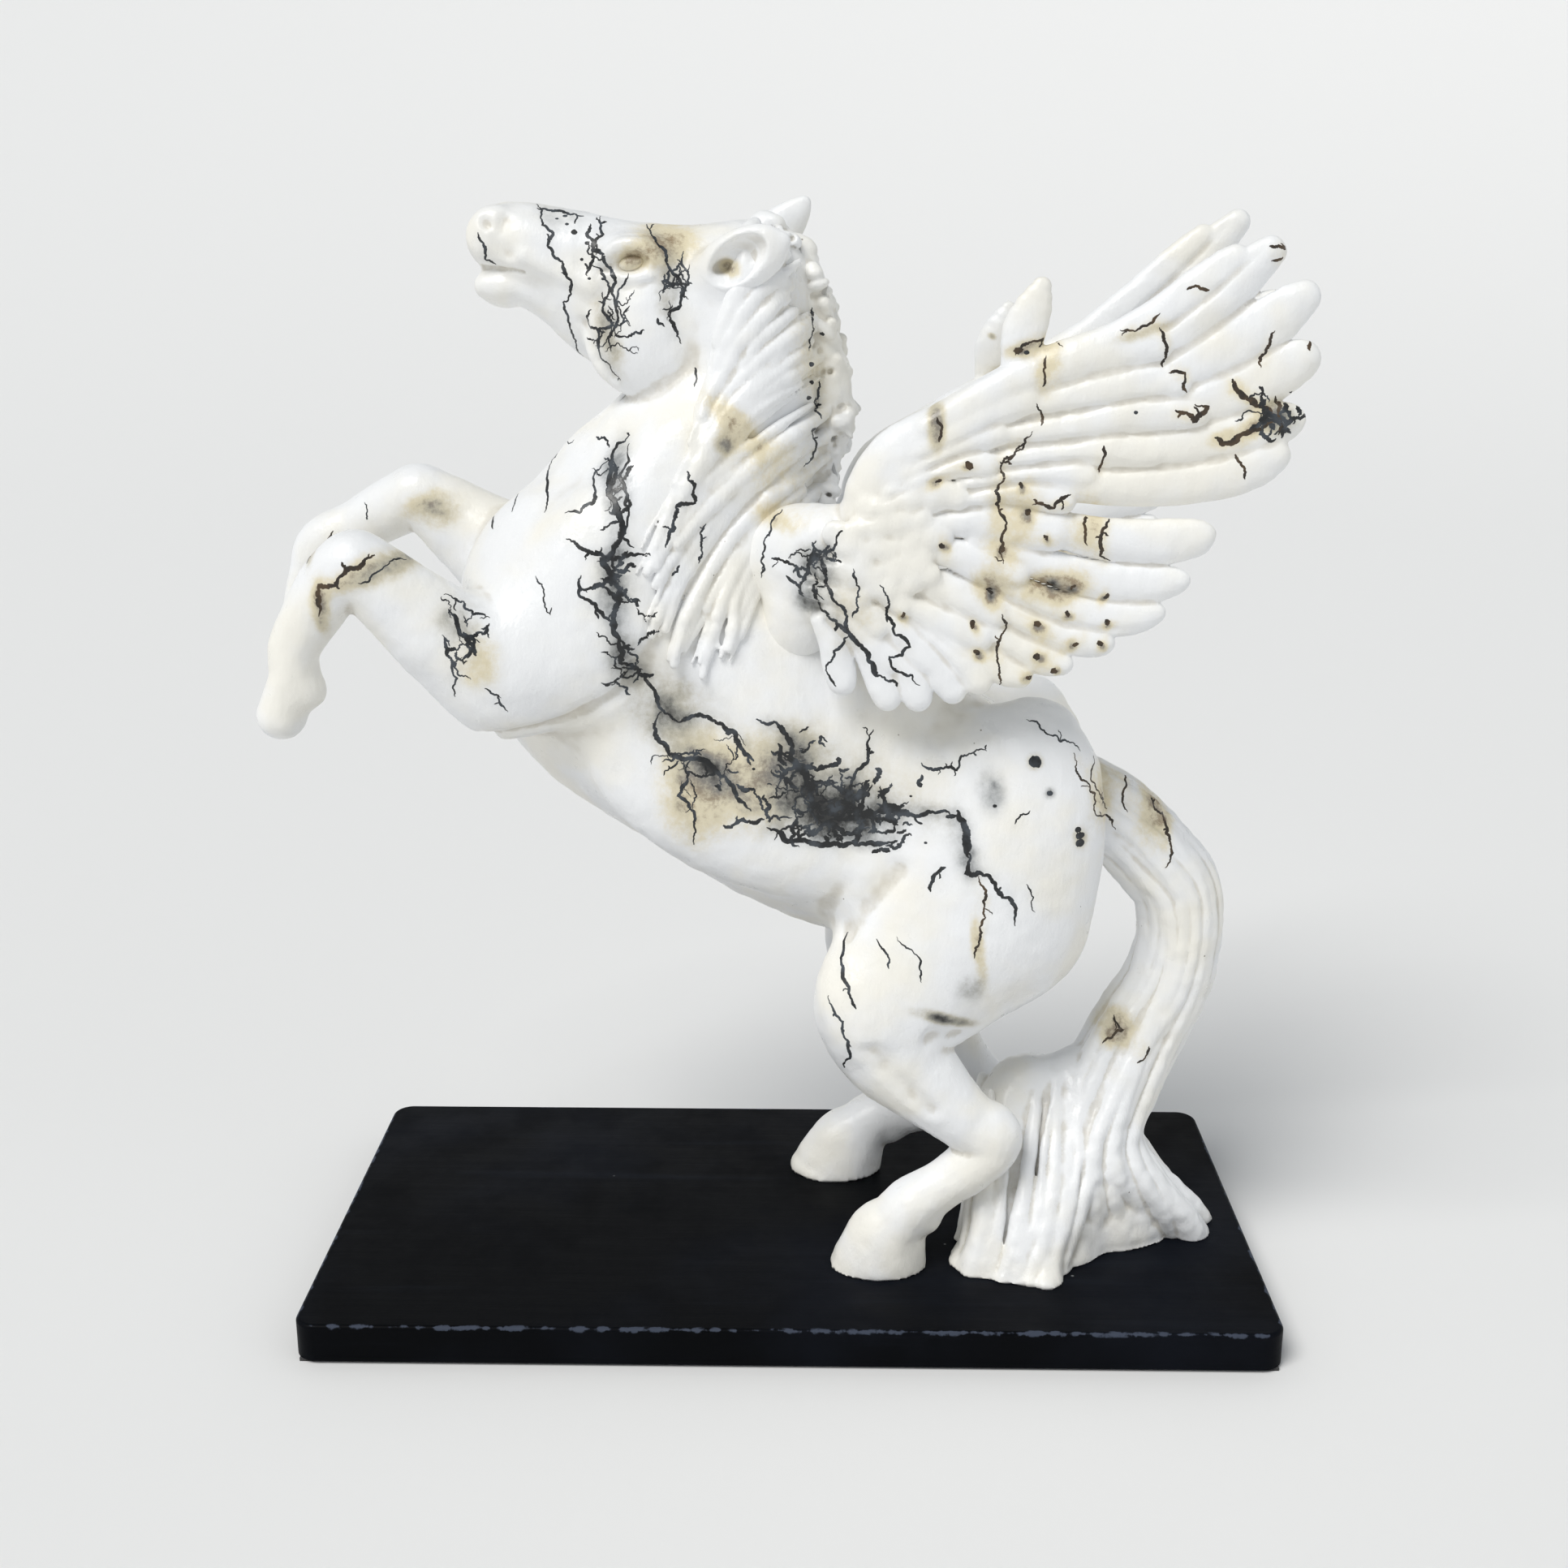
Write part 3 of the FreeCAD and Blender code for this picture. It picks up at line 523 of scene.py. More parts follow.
# Smoke veins of each side: width, points (x, z). Carbon ones are black, burnt ones brown. Most of the
# left side's points, here and in the scorches, burns and dots, are output of another program, pasted in.
# The right side's are made up.
# left side, carbon
LEFT_VEINS = [
    # head
    (0.9, [(-120, 440), (-118, 436), (-118, 430), (-114, 428)]),
    (0.9, [(-99, 451), (-96, 448), (-91, 439), (-93, 435), (-84, 422), (-88, 414), (-86, 406), (-82, 393)]),
    (1.1, [(-98, 449), (-90, 448), (-80, 446)]),
    (1.0, [(-74, 446), (-72, 439), (-76, 433), (-71, 432), (-67, 423), (-66, 409), (-69, 396)]),
    (0.9, [(-76, 428), (-70, 417), (-72, 411), (-68, 406), (-74, 404), (-74, 396), (-66, 385)]),
    (0.7, [(-62, 425), (-66, 417), (-66, 409)]),
    (1.0, [(-56, 443), (-52, 438), (-47, 431), (-43, 423), (-43, 412), (-46, 411), (-42, 399)]),
    (0.8, [(-41, 433), (-39, 421), (-49, 422), (-48, 418)]), (0.7, [(-37, 390), (-37, 383)]),
    # chest
    (0.9, [(-90, 360), (-96, 346), (-95, 336)]), (0.8, [(-107, 349), (-109, 335)]),
    (1.0, [(-120, 336), (-117, 328)]), (0.5, [(-97, 314), (-91, 300)]),
    (1.7, [(-62, 365), (-69, 356), (-69, 344), (-65, 327), (-71, 321), (-67, 314), (-65, 307), (-67, 297),
           (-65, 290), (-65, 281), (-56, 274), (-50, 261), (-44, 256)]),
    (1.0, [(-62, 362), (-65, 351), (-61, 338), (-64, 330), (-59, 325)]),
    (1.1, [(-69, 356), (-76, 349), (-75, 341), (-86, 337)]),
    (1.1, [(-85, 328), (-77, 324), (-66, 321), (-54, 322)]),
    (1.0, [(-79, 315), (-80, 308), (-73, 302), (-67, 297)]),
    # foreleg
    (0.8, [(-131, 308), (-124, 305), (-114, 299)]),
    (1.1, [(-129, 303), (-125, 296), (-120, 290), (-122, 285)]),
    (0.9, [(-131, 294), (-128, 285), (-128, 269)]), (0.7, [(-116, 273), (-111, 270), (-108, 263)]),
    (0.6, [(-161, 314), (-154, 318), (-145, 321)]), (0.6, [(-182, 330), (-182, 320)]),
    # mane
    (1.1, [(-39, 353), (-36, 348), (-36, 341), (-43, 340), (-47, 325)]), (0.8, [(-32, 333), (-35, 318)]),
    (0.8, [(-42, 318), (-45, 314)]), (0.8, [(8, 412), (9, 404), (7, 396)]),
    (0.9, [(11, 384), (9, 376), (12, 370)]), (0.9, [(8, 366), (10, 360), (5, 352)]),
    # belly
    (1.5, [(-44, 256), (-32, 258), (-21, 252), (-14, 241)]),
    (1.3, [(-50, 260), (-52, 250), (-39, 242), (-29, 237), (-22, 231), (-15, 221)]),
    (1.0, [(-39, 242), (-44, 227), (-38, 206)]),
    (1.6, [(-13, 258), (-1, 252), (6, 233), (12, 219), (25, 216), (41, 219), (57, 220), (66, 219)]),
    (1.5, [(-9, 214), (6, 208), (25, 206), (36, 206), (43, 208)]),
    (1.1, [(33, 252), (31, 242), (25, 232), (22, 222)]),
    # croup
    (0.8, [(52, 239), (66, 236), (68, 241), (78, 243)]),
    (2.0, [(66, 221), (70, 212), (71, 203)]), (1.3, [(71, 205), (70, 197), (79, 196), (88, 186), (90, 175)]),
    (1.1, [(56, 189), (57, 195), (62, 199)]), (0.6, [(94, 192), (98, 180)]), (0.7, [(95, 221), (89, 216)]),
    (0.6, [(94, 254), (105, 248), (116, 241)]),
    # thigh
    (1.1, [(24, 166), (21, 157), (24, 147), (27, 141)]), (1.1, [(16, 144), (22, 135), (24, 123), (23, 114)]),
    (0.6, [(35, 168), (40, 157)]), (0.6, [(43, 170), (53, 152)]),
    # wing root
    (1.3, [(20, 333), (9, 322), (4, 308), (13, 302), (23, 293), (30, 284), (39, 275)]),
    (1.1, [(13, 324), (16, 308), (23, 294)]), (0.8, [(24, 319), (26, 309), (24, 300)]),
    (0.9, [(34, 313), (37, 300), (46, 289), (38, 285), (42, 279), (50, 274)]),
    (0.9, [(23, 293), (17, 287), (14, 279), (18, 273)]), (0.8, [(-3, 338), (-10, 326), (-11, 312)]),
]
# left side, burnt
LEFT_SCORCHES = [
    # wing
    (0.9, [(89, 370), (79, 360), (79, 352), (77, 343), (79, 330), (80, 321)]),
    (0.8, [(80, 302), (82, 296), (79, 289), (80, 280), (80, 273)]), (0.8, [(93, 397), (92, 386)]),
    (0.7, [(90, 380), (92, 372)]), (0.9, [(133, 407), (136, 400), (135, 393)]),
    (0.9, [(137, 391), (143, 391), (144, 384)]), (1.1, [(140, 378), (147, 374), (152, 379), (147, 380)]),
    (0.7, [(119, 406), (129, 408), (133, 412)]), (0.9, [(115, 365), (114, 355)]),
    (0.8, [(112, 344), (111, 328)]), (0.9, [(119, 343), (116, 333), (116, 324), (120, 322)]),
    (1.1, [(90, 343), (98, 342), (104, 347)]), (0.8, [(54, 375), (55, 366)]),
    (0.8, [(82, 397), (90, 402), (99, 400)]),
    # tips
    (1.6, [(160, 389), (164, 383), (172, 379), (176, 376)]),
    (1.5, [(176, 374), (169, 371), (161, 366), (155, 368)]), (1.1, [(176, 383), (178, 375), (178, 369)]),
    (0.8, [(163, 362), (167, 353)]), (1.0, [(171, 430), (180, 430)]),
    (0.8, [(170, 435), (176, 434), (174, 436)]), (0.8, [(142, 420), (150, 420)]),
    (0.9, [(174, 406), (172, 400), (170, 393)]), (1.1, [(186, 405), (187, 399)]),
    # tail
    (0.8, [(122, 238), (128, 217), (135, 202)]), (0.8, [(139, 226), (140, 209)]),
    (0.9, [(149, 220), (157, 202), (156, 186)]), (1.0, [(139, 118), (142, 113), (134, 106)]),
    (0.9, [(153, 107), (148, 100)]), (0.7, [(113, 241), (119, 229), (131, 211)]),
    (0.7, [(150, 232), (148, 221), (154, 214)]),
    # knee
    (1.2, [(-177, 301), (-176, 313), (-169, 313), (-160, 320), (-155, 324)]),
    (0.7, [(-196, 318), (-199, 303)]), (0.8, [(75, 196), (78, 179), (74, 162)]),
]
# right side, carbon
RIGHT_VEINS = [
    (0.9, [(-96, 446), (-90, 436), (-84, 420), (-86, 402)]),
    (1.0, [(-66, 440), (-62, 424), (-66, 410), (-58, 396)]), (0.8, [(-46, 436), (-42, 420), (-46, 404)]),
    (1.6, [(-60, 346), (-66, 330), (-60, 312), (-64, 296), (-58, 278), (-48, 262), (-40, 250)]),
    (1.0, [(-60, 312), (-72, 304), (-80, 290)]), (0.9, [(-92, 350), (-98, 334)]),
    (1.2, [(-40, 250), (-24, 244), (-10, 246), (4, 236)]),
    (1.5, [(4, 236), (20, 230), (34, 224), (52, 228), (66, 216)]), (1.1, [(20, 230), (18, 214), (6, 202)]),
    (1.2, [(66, 216), (72, 200), (66, 186), (74, 172)]), (0.9, [(30, 170), (24, 154), (30, 140)]),
    (0.9, [(-132, 316), (-124, 306), (-118, 292)]), (0.8, [(100, 240), (114, 226), (128, 212)]),
    (1.2, [(14, 318), (10, 304), (18, 290), (30, 278)]), (0.9, [(26, 310), (32, 298), (28, 284)]),
]
# right side, burnt
RIGHT_SCORCHES = [
    (0.9, [(84, 362), (78, 346), (82, 330), (78, 314)]), (0.8, [(112, 356), (114, 340), (110, 326)]),
    (1.4, [(166, 408), (174, 402), (184, 404), (192, 398)]), (1.0, [(184, 404), (188, 414), (184, 424)]),
    (0.8, [(140, 392), (146, 384), (154, 386)]), (0.9, [(80, 306), (84, 292), (80, 280)]),
    (0.9, [(144, 224), (152, 206), (156, 190)]), (0.8, [(132, 112), (138, 102), (132, 92)]),
    (0.8, [(-166, 322), (-160, 330), (-150, 334)]),
]
# Knots of short veins: centre (x, z), radii, number, width.
LEFT_KNOTS = [
    ((20, 222), (22, 16), 60, 1.0), ((30, 216), (14, 8), 24, 1.3), ((2, 238), (12, 12), 22, 0.9),
    ((-66, 312), (6, 12), 18, 1.0), ((-66, 348), (5, 9), 14, 1.0), ((-62, 280), (7, 8), 12, 0.8),
    ((-30, 238), (13, 8), 12, 0.7), ((10, 318), (6, 9), 14, 0.9), ((-69, 404), (4, 12), 12, 0.6),
    ((-46, 420), (4, 9), 12, 0.6), ((-124, 293), (7, 9), 10, 0.9), ((174, 376), (7, 6), 14, 1.1),
    ((-74, 434), (5, 9), 7, 0.7),
]
RIGHT_KNOTS = [
    ((24, 228), (20, 13), 46, 1.0), ((-62, 300), (6, 16), 18, 0.9), ((12, 302), (7, 10), 14, 0.9),
    ((184, 402), (7, 6), 12, 1.1), ((-62, 410), (5, 12), 12, 0.6), ((68, 190), (5, 9), 8, 0.9),
]
# Round marks: x, z, radius.
LEFT_DOTS = [
    (97, 239, 2.7), (116, 209, 2.0), (116, 206, 2.0), (115, 211.5, 1.4), (103, 227, 1.3), (81, 223, 0.9),
    (-87, 446, 1.0), (-86, 443, 0.8), (-83, 440, 1.3), (-78, 436, 0.9), (-80, 430, 0.7), (-77, 423, 0.7),
    (-90, 445, 0.7), (8, 410, 0.9), (12, 402, 1.0), (8, 391, 1.0), (8, 384, 0.9), (7, 378, 1.0),
    (11, 375, 0.9), (9, 366, 1.1), (-14, 238, 0.7), (-4, 226, 0.8), (54, 208, 0.7), (48, 226, 0.6),
    (86, 398, 1.1), (126, 377, 0.8),
]
RIGHT_DOTS = [
    (100, 230, 2.4), (106, 222, 1.2), (-84, 442, 1.1), (-78, 430, 0.9), (8, 396, 1.0), (10, 380, 1.0),
]


class Stains:
    """Faint soot along the veins and fume along the scorched ones: a map of each side, in millimetres."""

    LOW, SHAPE = np.array((-240, 0)), (470, 470)
    # Reach and strength round a vein.
    SOOT, FUME = (2.2, 0.5), (2.6, 1.5)

    def __init__(self):
        self.maps = {
            LEFT: (self.spread_out(LEFT_VEINS, *self.SOOT), self.spread_out(LEFT_SCORCHES, *self.FUME)),
            RIGHT: (self.spread_out(RIGHT_VEINS, *self.SOOT), self.spread_out(RIGHT_SCORCHES, *self.FUME)),
        }

    def spread_out(self, veins, reach, strength):
        stain = np.zeros(self.SHAPE)
        for width, points in veins:
            path = smooth_path(points, 24)
            cells = np.unique(np.round(path - self.LOW).astype(int), axis=0)
            stain[cells[:, 0], cells[:, 1]] += width
        curve = np.exp(-0.5 * (np.arange(-9, 10) / reach) ** 2)
        curve /= curve.sum()
        for axis in (0, 1):
            stain = np.apply_along_axis(np.convolve, axis, stain, curve, "same")
        return strength * stain

    def look_up(self, side, x, z):
        spots = np.round(np.stack([x, z], 1) - self.LOW).astype(int)
        spots = np.clip(spots, 0, np.array(self.SHAPE) - 1)
        return [stain[spots[:, 0], spots[:, 1]] for stain in self.maps[side]]


STAINS = Stains()


def smoke_at(points):
    """Soot and fume at each point, mottled."""
    x, y, z = points.T
    soot, fume = np.zeros(len(points)), np.zeros(len(points))
    spots = []
    for number, (x0, z0) in enumerate(BURNS):
        reach = BURN_REACH[number % len(BURN_REACH)]
        spots.append((x0, z0, reach, reach * 0.7, 40 * number, 0.45, 0.8))
        spots.append((x0, z0, reach * 3.2, reach * 1.4, 25 * number, 0, 0.35))
    for side, clouds in ((LEFT, LEFT_CLOUDS + spots), (RIGHT, RIGHT_CLOUDS + spots[::2])):
        facing = 1 / (1 + np.exp(-side * y / 3))
        for x0, z0, along, across, turn, black, brown in clouds:
            lean = math.radians(turn)
            dx, dz = x - x0, z - z0
            run = (dx * math.cos(lean) + dz * math.sin(lean)) / along
            over = (dz * math.cos(lean) - dx * math.sin(lean)) / across
            weight = np.exp(-(run**2 + over**2)) * facing
            soot += black * weight
            fume += brown * weight
        black, brown = STAINS.look_up(side, x, z)
        soot += black * facing
        fume += brown * facing
    mottle = 1 + 0.35 * lattice_noise(points, 6.0) + 0.2 * lattice_noise(points + 9.0, 2.5)
    return np.clip(soot * mottle, 0, 1), np.clip(fume * mottle, 0, 1)


# ---------------------------------------------------------------- materials
class Finish:
    """A procedural material with short names for the nodes that this script uses."""

    def __init__(self, name):
        self.material = bpy.data.materials.new(name)
        self.material.use_nodes = True
        self.nodes = self.material.node_tree.nodes
        self.links = self.material.node_tree.links
        self.shader = self.nodes["Principled BSDF"]
        self.place = self.nodes.new("ShaderNodeTexCoord").outputs["Object"]

    def node(self, kind, inputs=(), **settings):
        node = self.nodes.new(kind)
        for key, value in settings.items():
            setattr(node, key, value)
        for key, value in dict(inputs).items():
            if isinstance(value, bpy.types.NodeSocket):
                self.links.new(value, node.inputs[key])
            else:
                node.inputs[key].default_value = value
        return node

    def noise(self, scale, detail=3.0, roughness=0.55, stretch=None):
        place = self.place
        if stretch:
            place = self.node("ShaderNodeMapping", {"Vector": place, "Scale": stretch}).outputs["Vector"]
        inputs = {"Vector": place, "Scale": scale, "Detail": detail, "Roughness": roughness}
        return self.node("ShaderNodeTexNoise", inputs).outputs["Fac"]

    def sum(self, operation, a, b=0.0):
        return self.node("ShaderNodeMath", {0: a, 1: b}, operation=operation).outputs[0]

    def ramp(self, source, low, high, start=0.0, stop=1.0):
        """A smooth step from start to stop as the source goes from low to high."""
        inputs = {"Value": source, "From Min": low, "From Max": high, "To Min": start, "To Max": stop}
        return self.node("ShaderNodeMapRange", inputs, interpolation_type="SMOOTHSTEP").outputs["Result"]

    def mix(self, share, low, high):
        node = self.node("ShaderNodeMix", {0: share}, data_type="RGBA")
        for socket, value in ((node.inputs[6], low), (node.inputs[7], high)):
            if isinstance(value, bpy.types.NodeSocket):
                self.links.new(value, socket)
            else:
                socket.default_value = (*value, 1)
        return node.outputs[2]

    def set(self, **sockets):
        for name, value in sockets.items():
            socket = self.shader.inputs[name.replace("_", " ")]
            if isinstance(value, bpy.types.NodeSocket):
                self.links.new(value, socket)
            else:
                socket.default_value = value

    def bump(self, height, strength, distance, under=None):
        inputs = {"Height": height, "Strength": strength, "Distance": distance}
        if under:
            inputs["Normal"] = under
        return self.node("ShaderNodeBump", inputs).outputs["Normal"]


def clay_material():
    """White burnished clay: cool and warm patches, painted brownish shade in the hollows, fume, soot,
    pinholes and brush marks.
    """
    look = Finish("burnished_white_clay")
    marks = look.node("ShaderNodeSeparateColor", {"Color": look.node(
        "ShaderNodeAttribute", attribute_name="marks").outputs["Color"]})
    soot, fume, height = marks.outputs[0], marks.outputs[1], marks.outputs[2]
    patches = look.ramp(look.noise(22, 3), 0.42, 0.66)
    colour = look.mix(patches, (0.875, 0.885, 0.90), (0.885, 0.865, 0.80))
    # Painted shade: hollows below the smoothed skin are darkened towards brown, broken up by fine noise.
    hollow_shade = look.ramp(height, 0.58, 1.0, 0.0, 0.5)
    grain = look.ramp(look.noise(260, 4), 0.3, 0.7, 0.6, 1.0)
    colour = look.mix(look.sum("MULTIPLY", hollow_shade, grain), colour, (0.50, 0.45, 0.35))
    speckle = look.noise(420, 5, 0.7)
    haze = look.sum("ADD", fume, look.sum("MULTIPLY", fume, look.ramp(speckle, 0.35, 0.7, -0.2, 0.2)))
    colour = look.mix(look.ramp(haze, 0.05, 0.6, 0.0, 0.8), colour, (0.76, 0.66, 0.42))
    colour = look.mix(look.ramp(haze, 0.62, 1.1, 0.0, 0.75), colour, (0.26, 0.155, 0.06))
    smoke = look.sum("ADD", soot, look.sum("MULTIPLY", soot, look.ramp(speckle, 0.3, 0.7, -0.15, 0.15)))
    colour = look.mix(look.ramp(smoke, 0.0, 0.62, 0.0, 0.78), colour, (0.20, 0.215, 0.225))
    colour = look.mix(look.ramp(smoke, 0.42, 0.95, 0.0, 0.97), colour, (0.016, 0.017, 0.018))
    cells = look.node("ShaderNodeTexVoronoi", {"Vector": look.place, "Scale": 95.0})
    holes = look.sum("MULTIPLY", look.ramp(cells.outputs["Distance"], 0.020, 0.045, 1.0, 0.0),
                     look.ramp(look.noise(31, 2), 0.50, 0.58))
    colour = look.mix(look.sum("MULTIPLY", holes, 0.85), colour, (0.13, 0.10, 0.07))
    brush = look.noise(110, 4, 0.6, stretch=(1.0, 1.0, 0.45))
    pits = look.bump(look.sum("SUBTRACT", look.noise(700, 3), look.sum("MULTIPLY", holes, 0.8)), 0.16, 0.0006)
    look.set(Base_Color=colour, Roughness=look.ramp(look.noise(120, 3), 0.3, 0.7, 0.27, 0.44),
             Normal=look.bump(brush, 0.42, 0.0016, pits))
    return look.material


def carbon_material():
    """Smoke veins: black with slate patches, less glossy than the clay."""
    look = Finish("carbon_vein")
    colour = look.mix(look.ramp(look.noise(140, 3), 0.42, 0.68), (0.011, 0.012, 0.013), (0.052, 0.062, 0.074))
    look.set(Base_Color=colour, Roughness=look.ramp(look.noise(300, 2), 0.3, 0.7, 0.30, 0.50))
    return look.material


def burnt_material():
    look = Finish("scorched_brown")
    colour = look.mix(look.ramp(look.noise(180, 3), 0.4, 0.65), (0.024, 0.017, 0.011), (0.075, 0.046, 0.022))
    look.set(Base_Color=colour, Roughness=look.ramp(look.noise(300, 2), 0.3, 0.7, 0.34, 0.52))
    return look.material


def board_material():
    """Black satin paint over wood: faint lengthwise grain, dust, bluish bloom, and the top edges rubbed pale
    with a painted highlight along them.
    """
    look = Finish("black_painted_wood")
    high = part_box("plinth_board")[1]
    bloom = look.ramp(look.noise(9, 4), 0.40, 0.75)
    colour = look.mix(bloom, (0.0022, 0.0026, 0.0034), (0.0055, 0.0068, 0.0105))
    streaks = look.ramp(look.noise(60, 5, 0.6, stretch=(0.08, 1.0, 1.0)), 0.55, 0.75, 0.0, 0.35)
    colour = look.mix(streaks, colour, (0.012, 0.015, 0.022))
    dust = look.node("ShaderNodeTexVoronoi", {"Vector": look.place, "Scale": 60.0})
    dots = look.sum("MULTIPLY", look.ramp(dust.outputs["Distance"], 0.02, 0.05, 1.0, 0.0),
                    look.ramp(look.noise(23, 2), 0.60, 0.66))
    colour = look.mix(look.sum("MULTIPLY", dots, 0.5), colour, (0.35, 0.36, 0.36))
    axis = look.node("ShaderNodeSeparateXYZ", {"Vector": look.place})
    # Top edges lighter: worn paint and a painted highlight where they catch the light from above.
    past_y = look.sum("SUBTRACT", look.sum("ABSOLUTE", axis.outputs[1]), high[1] - 0.0016)
    past_x = look.sum("SUBTRACT", look.sum("ABSOLUTE", axis.outputs[0]), high[0] - 0.0016)
    past_z = look.sum("SUBTRACT", axis.outputs[2], high[2] - 0.0014)
    rim = look.sum("MINIMUM", look.sum("MAXIMUM", past_x, past_y), past_z)
    edge_wear_and_highlight = look.sum("ADD", rim, look.ramp(look.noise(160, 4), 0.3, 0.7, -0.0014, 0.0008))
    colour = look.mix(look.ramp(edge_wear_and_highlight, 0.0, 0.0008, 0.0, 0.5), colour, (0.10, 0.12, 0.17))
    grain = look.bump(look.noise(90, 6, 0.6, stretch=(0.06, 1.0, 1.0)), 0.25, 0.0008)
    look.set(Base_Color=colour, Roughness=look.ramp(look.noise(40, 4), 0.3, 0.7, 0.36, 0.55),
             Specular_IOR_Level=0.035, Normal=look.bump(look.noise(500, 3), 0.08, 0.0004, grain))
    return look.material


def felt_material():
    look = Finish("black_felt")
    fibre = look.noise(1400, 4, 0.7)
    look.set(Base_Color=look.mix(look.ramp(fibre, 0.35, 0.7), (0.010, 0.010, 0.011), (0.038, 0.037, 0.038)),
             Roughness=0.95, Sheen_Weight=0.4, Normal=look.bump(fibre, 0.6, 0.0005))
    return look.material


def steel_material():
    look = Finish("zinc_plated_steel")
    spangle = look.noise(500, 3, 0.6)
    colour = look.mix(look.ramp(spangle, 0.35, 0.7), (0.42, 0.43, 0.45), (0.62, 0.62, 0.60))
    roughness = look.ramp(look.noise(160, 3), 0.3, 0.7, 0.24, 0.46)
    look.set(Base_Color=colour, Metallic=1.0, Roughness=roughness, Normal=look.bump(spangle, 0.1, 0.0002))
    return look.material


def dress_frame(looks):
    """New materials for the CAD nodes that stay."""
    for name, material in looks.items():
        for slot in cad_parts[name].material_slots:
            slot.material = material


# ---------------------------------------------------------------- body
TORSO = [
    (-104, 0, 298, 28, 26),
    (-90, 0, 291, 44, 39),
    (-62, 0, 274, 64, 50),
    (-25, 0, 252, 68, 53),
    (15, 0, 224, 65, 51),
    (50, 0, 205, 58, 45),
    (80, 0, 194, 50, 38),
    (98, 0, 194, 32, 26),
    (106, 0, 202, 22, 18),
]
NECK = [
    (-52, 0, 300, 68, 40),
    (-46, 0, 320, 59, 40),
    (-39, 0, 338, 49.5, 38),
    (-28, 0, 360, 39, 34),
    (-20, 0, 381, 32, 29),
    (-21, 0, 402, 31, 25),
    (-17, 0, 419, 24, 21),
]
HEAD = [
    (-8, 0, 425, 13, 12),
    (-24, 0, 419, 23, 20),
    (-46, 0, 414, 29, 22),
    (-68, 0, 418, 27, 20),
    (-88, 0, 430, 19, 16),
    (-104, 0, 436, 15, 14.5),
    (-113.5, 0, 437.5, 13, 13.5),
    (-117, 0, 435, 8.5, 11),
]
LEFT_FORELEG = [
    (-88, -34, 290, 30, 20),
    (-112, -44, 279, 26, 20),
    (-131, -49, 288, 20.5, 18),
    (-150, -53, 304.5, 16.5, 15),
    (-163, -55, 316, 14, 13.5),
    (-172, -56, 313, 13, 12.5),
    (-181, -57, 302, 11.5, 10.5),
    (-190, -57, 287, 10, 9.5),
    (-191, -57, 276, 9.5, 10),
    (-194, -57, 268, 9.5, 9.5),
    (-197, -57, 260, 9.5, 9.5),
]
RIGHT_FORELEG = [
    (-90, 32, 298, 30, 20),
    (-116, 39, 303, 25, 19),
    (-134, 41, 314, 20, 16),
    (-150, 42, 326, 15.5, 14),
    (-160, 43, 331, 13.5, 13),
    (-172, 44, 327, 13, 12),
    (-188, 45, 318, 11.5, 10.5),
    (-203, 45, 311, 11, 10.5),
    (-210, 45, 298, 9, 9),
    (-214, 45, 282, 9, 8.5),
]
LEFT_HIND_LEG = [
    (98, -22, 238, 22, 14),
    (88, -27, 216, 40, 22),
    (76, -31, 188, 48, 27),
    (59, -36, 157, 40, 25),
    (42, -40, 134, 31, 22),
    (44, -43, 115, 23, 18),
    (58, -45, 99, 17, 14),
    (74, -46, 84, 13, 12),
    (83, -46, 74, 13, 11.5),
    (76, -47, 64, 11.5, 10.5),
    (63, -48, 54, 10.5, 10),
    (51, -48, 45, 12, 11.5),
    (45, -48, 37, 13, 12),
    (41, -47, 29, 17, 14),
    (38, -47, 14, 21, 16.5),
]
RIGHT_HIND_LEG = [
    (98, 22, 238, 22, 14),
    (88, 27, 216, 40, 22),
    (77, 31, 188, 48, 27),
    (62, 36, 156, 42, 25),
    (48, 39, 130, 32, 21),
    (53, 41, 107, 21, 17),
    (68, 42, 86, 16, 13.5),
    (82, 42, 66, 13, 12),
    (88, 42, 54, 12.5, 11),
    (76, 42, 49, 11.5, 10.5),
    (58, 42, 46, 10.5, 10),
    (40, 41, 43, 12, 11.5),
    (32, 40, 37, 13, 12),
    (26, 40, 29, 17, 14),
    (20, 39, 14, 21, 16.5),
]
# Muscles of both sides: centre x, y, z, radii x, y, z, turn, yaw, blend.
MUSCLES = [
    (-76, 36, 300, 34, 21, 48, 20, 0, 14),
    (-92, 38, 278, 36, 20, 22, 14, 0, 8),
    (-100, 17, 300, 30, 24, 42, 10, 0, 12),
    (-52, 30, 340, 18, 12, 34, 30, 0, 14),
    (48, 36, 232, 20, 9, 11, 25, 0, 12),
    (100, 22, 174, 24, 20, 36, -14, 0, 12),
    (84, 30, 163, 35, 22, 33, 0, 0, 8),
    (-112, 46, 264, 18, 13, 14, 10, 0, 7),
    (-30, 40, 214, 50, 12, 22, 28, 0, 14),
]
# Hollows of both sides, carved.
HOLLOWS = [
    (20, 62, 226, 24, 12, 26, 20, 0, 14),
    (-40, 56, 262, 10, 7, 26, -50, 0, 10),
]
LEFT_JOINTS = [
    (-165, -55, 318, 13, 14, 14, 0, 0, 4),
    (-186, -57, 270, 7, 8, 7, 0, 0, 4),
    (-178, -56, 303, 6, 9, 8, 0, 0, 5),
    (88, -46, 80, 7, 8, 9, -35, 0, 8),
    (57, -48, 40, 7, 7, 7, 0, 0, 4),
    (29, -47, 135, 15, 15, 21, -10, 0, 10),
]
RIGHT_JOINTS = [
    (-160, 43, 332, 12, 13, 13, 0, 0, 4),
    (-200, 45, 304, 6, 6, 6, 0, 0, 4),
    (94, 42, 61, 7, 8, 10, -35, 0, 6),
    (46, 41, 37, 7, 7, 7, 0, 0, 4),
    (38, 44, 134, 16, 15, 20, -10, 0, 10),
]


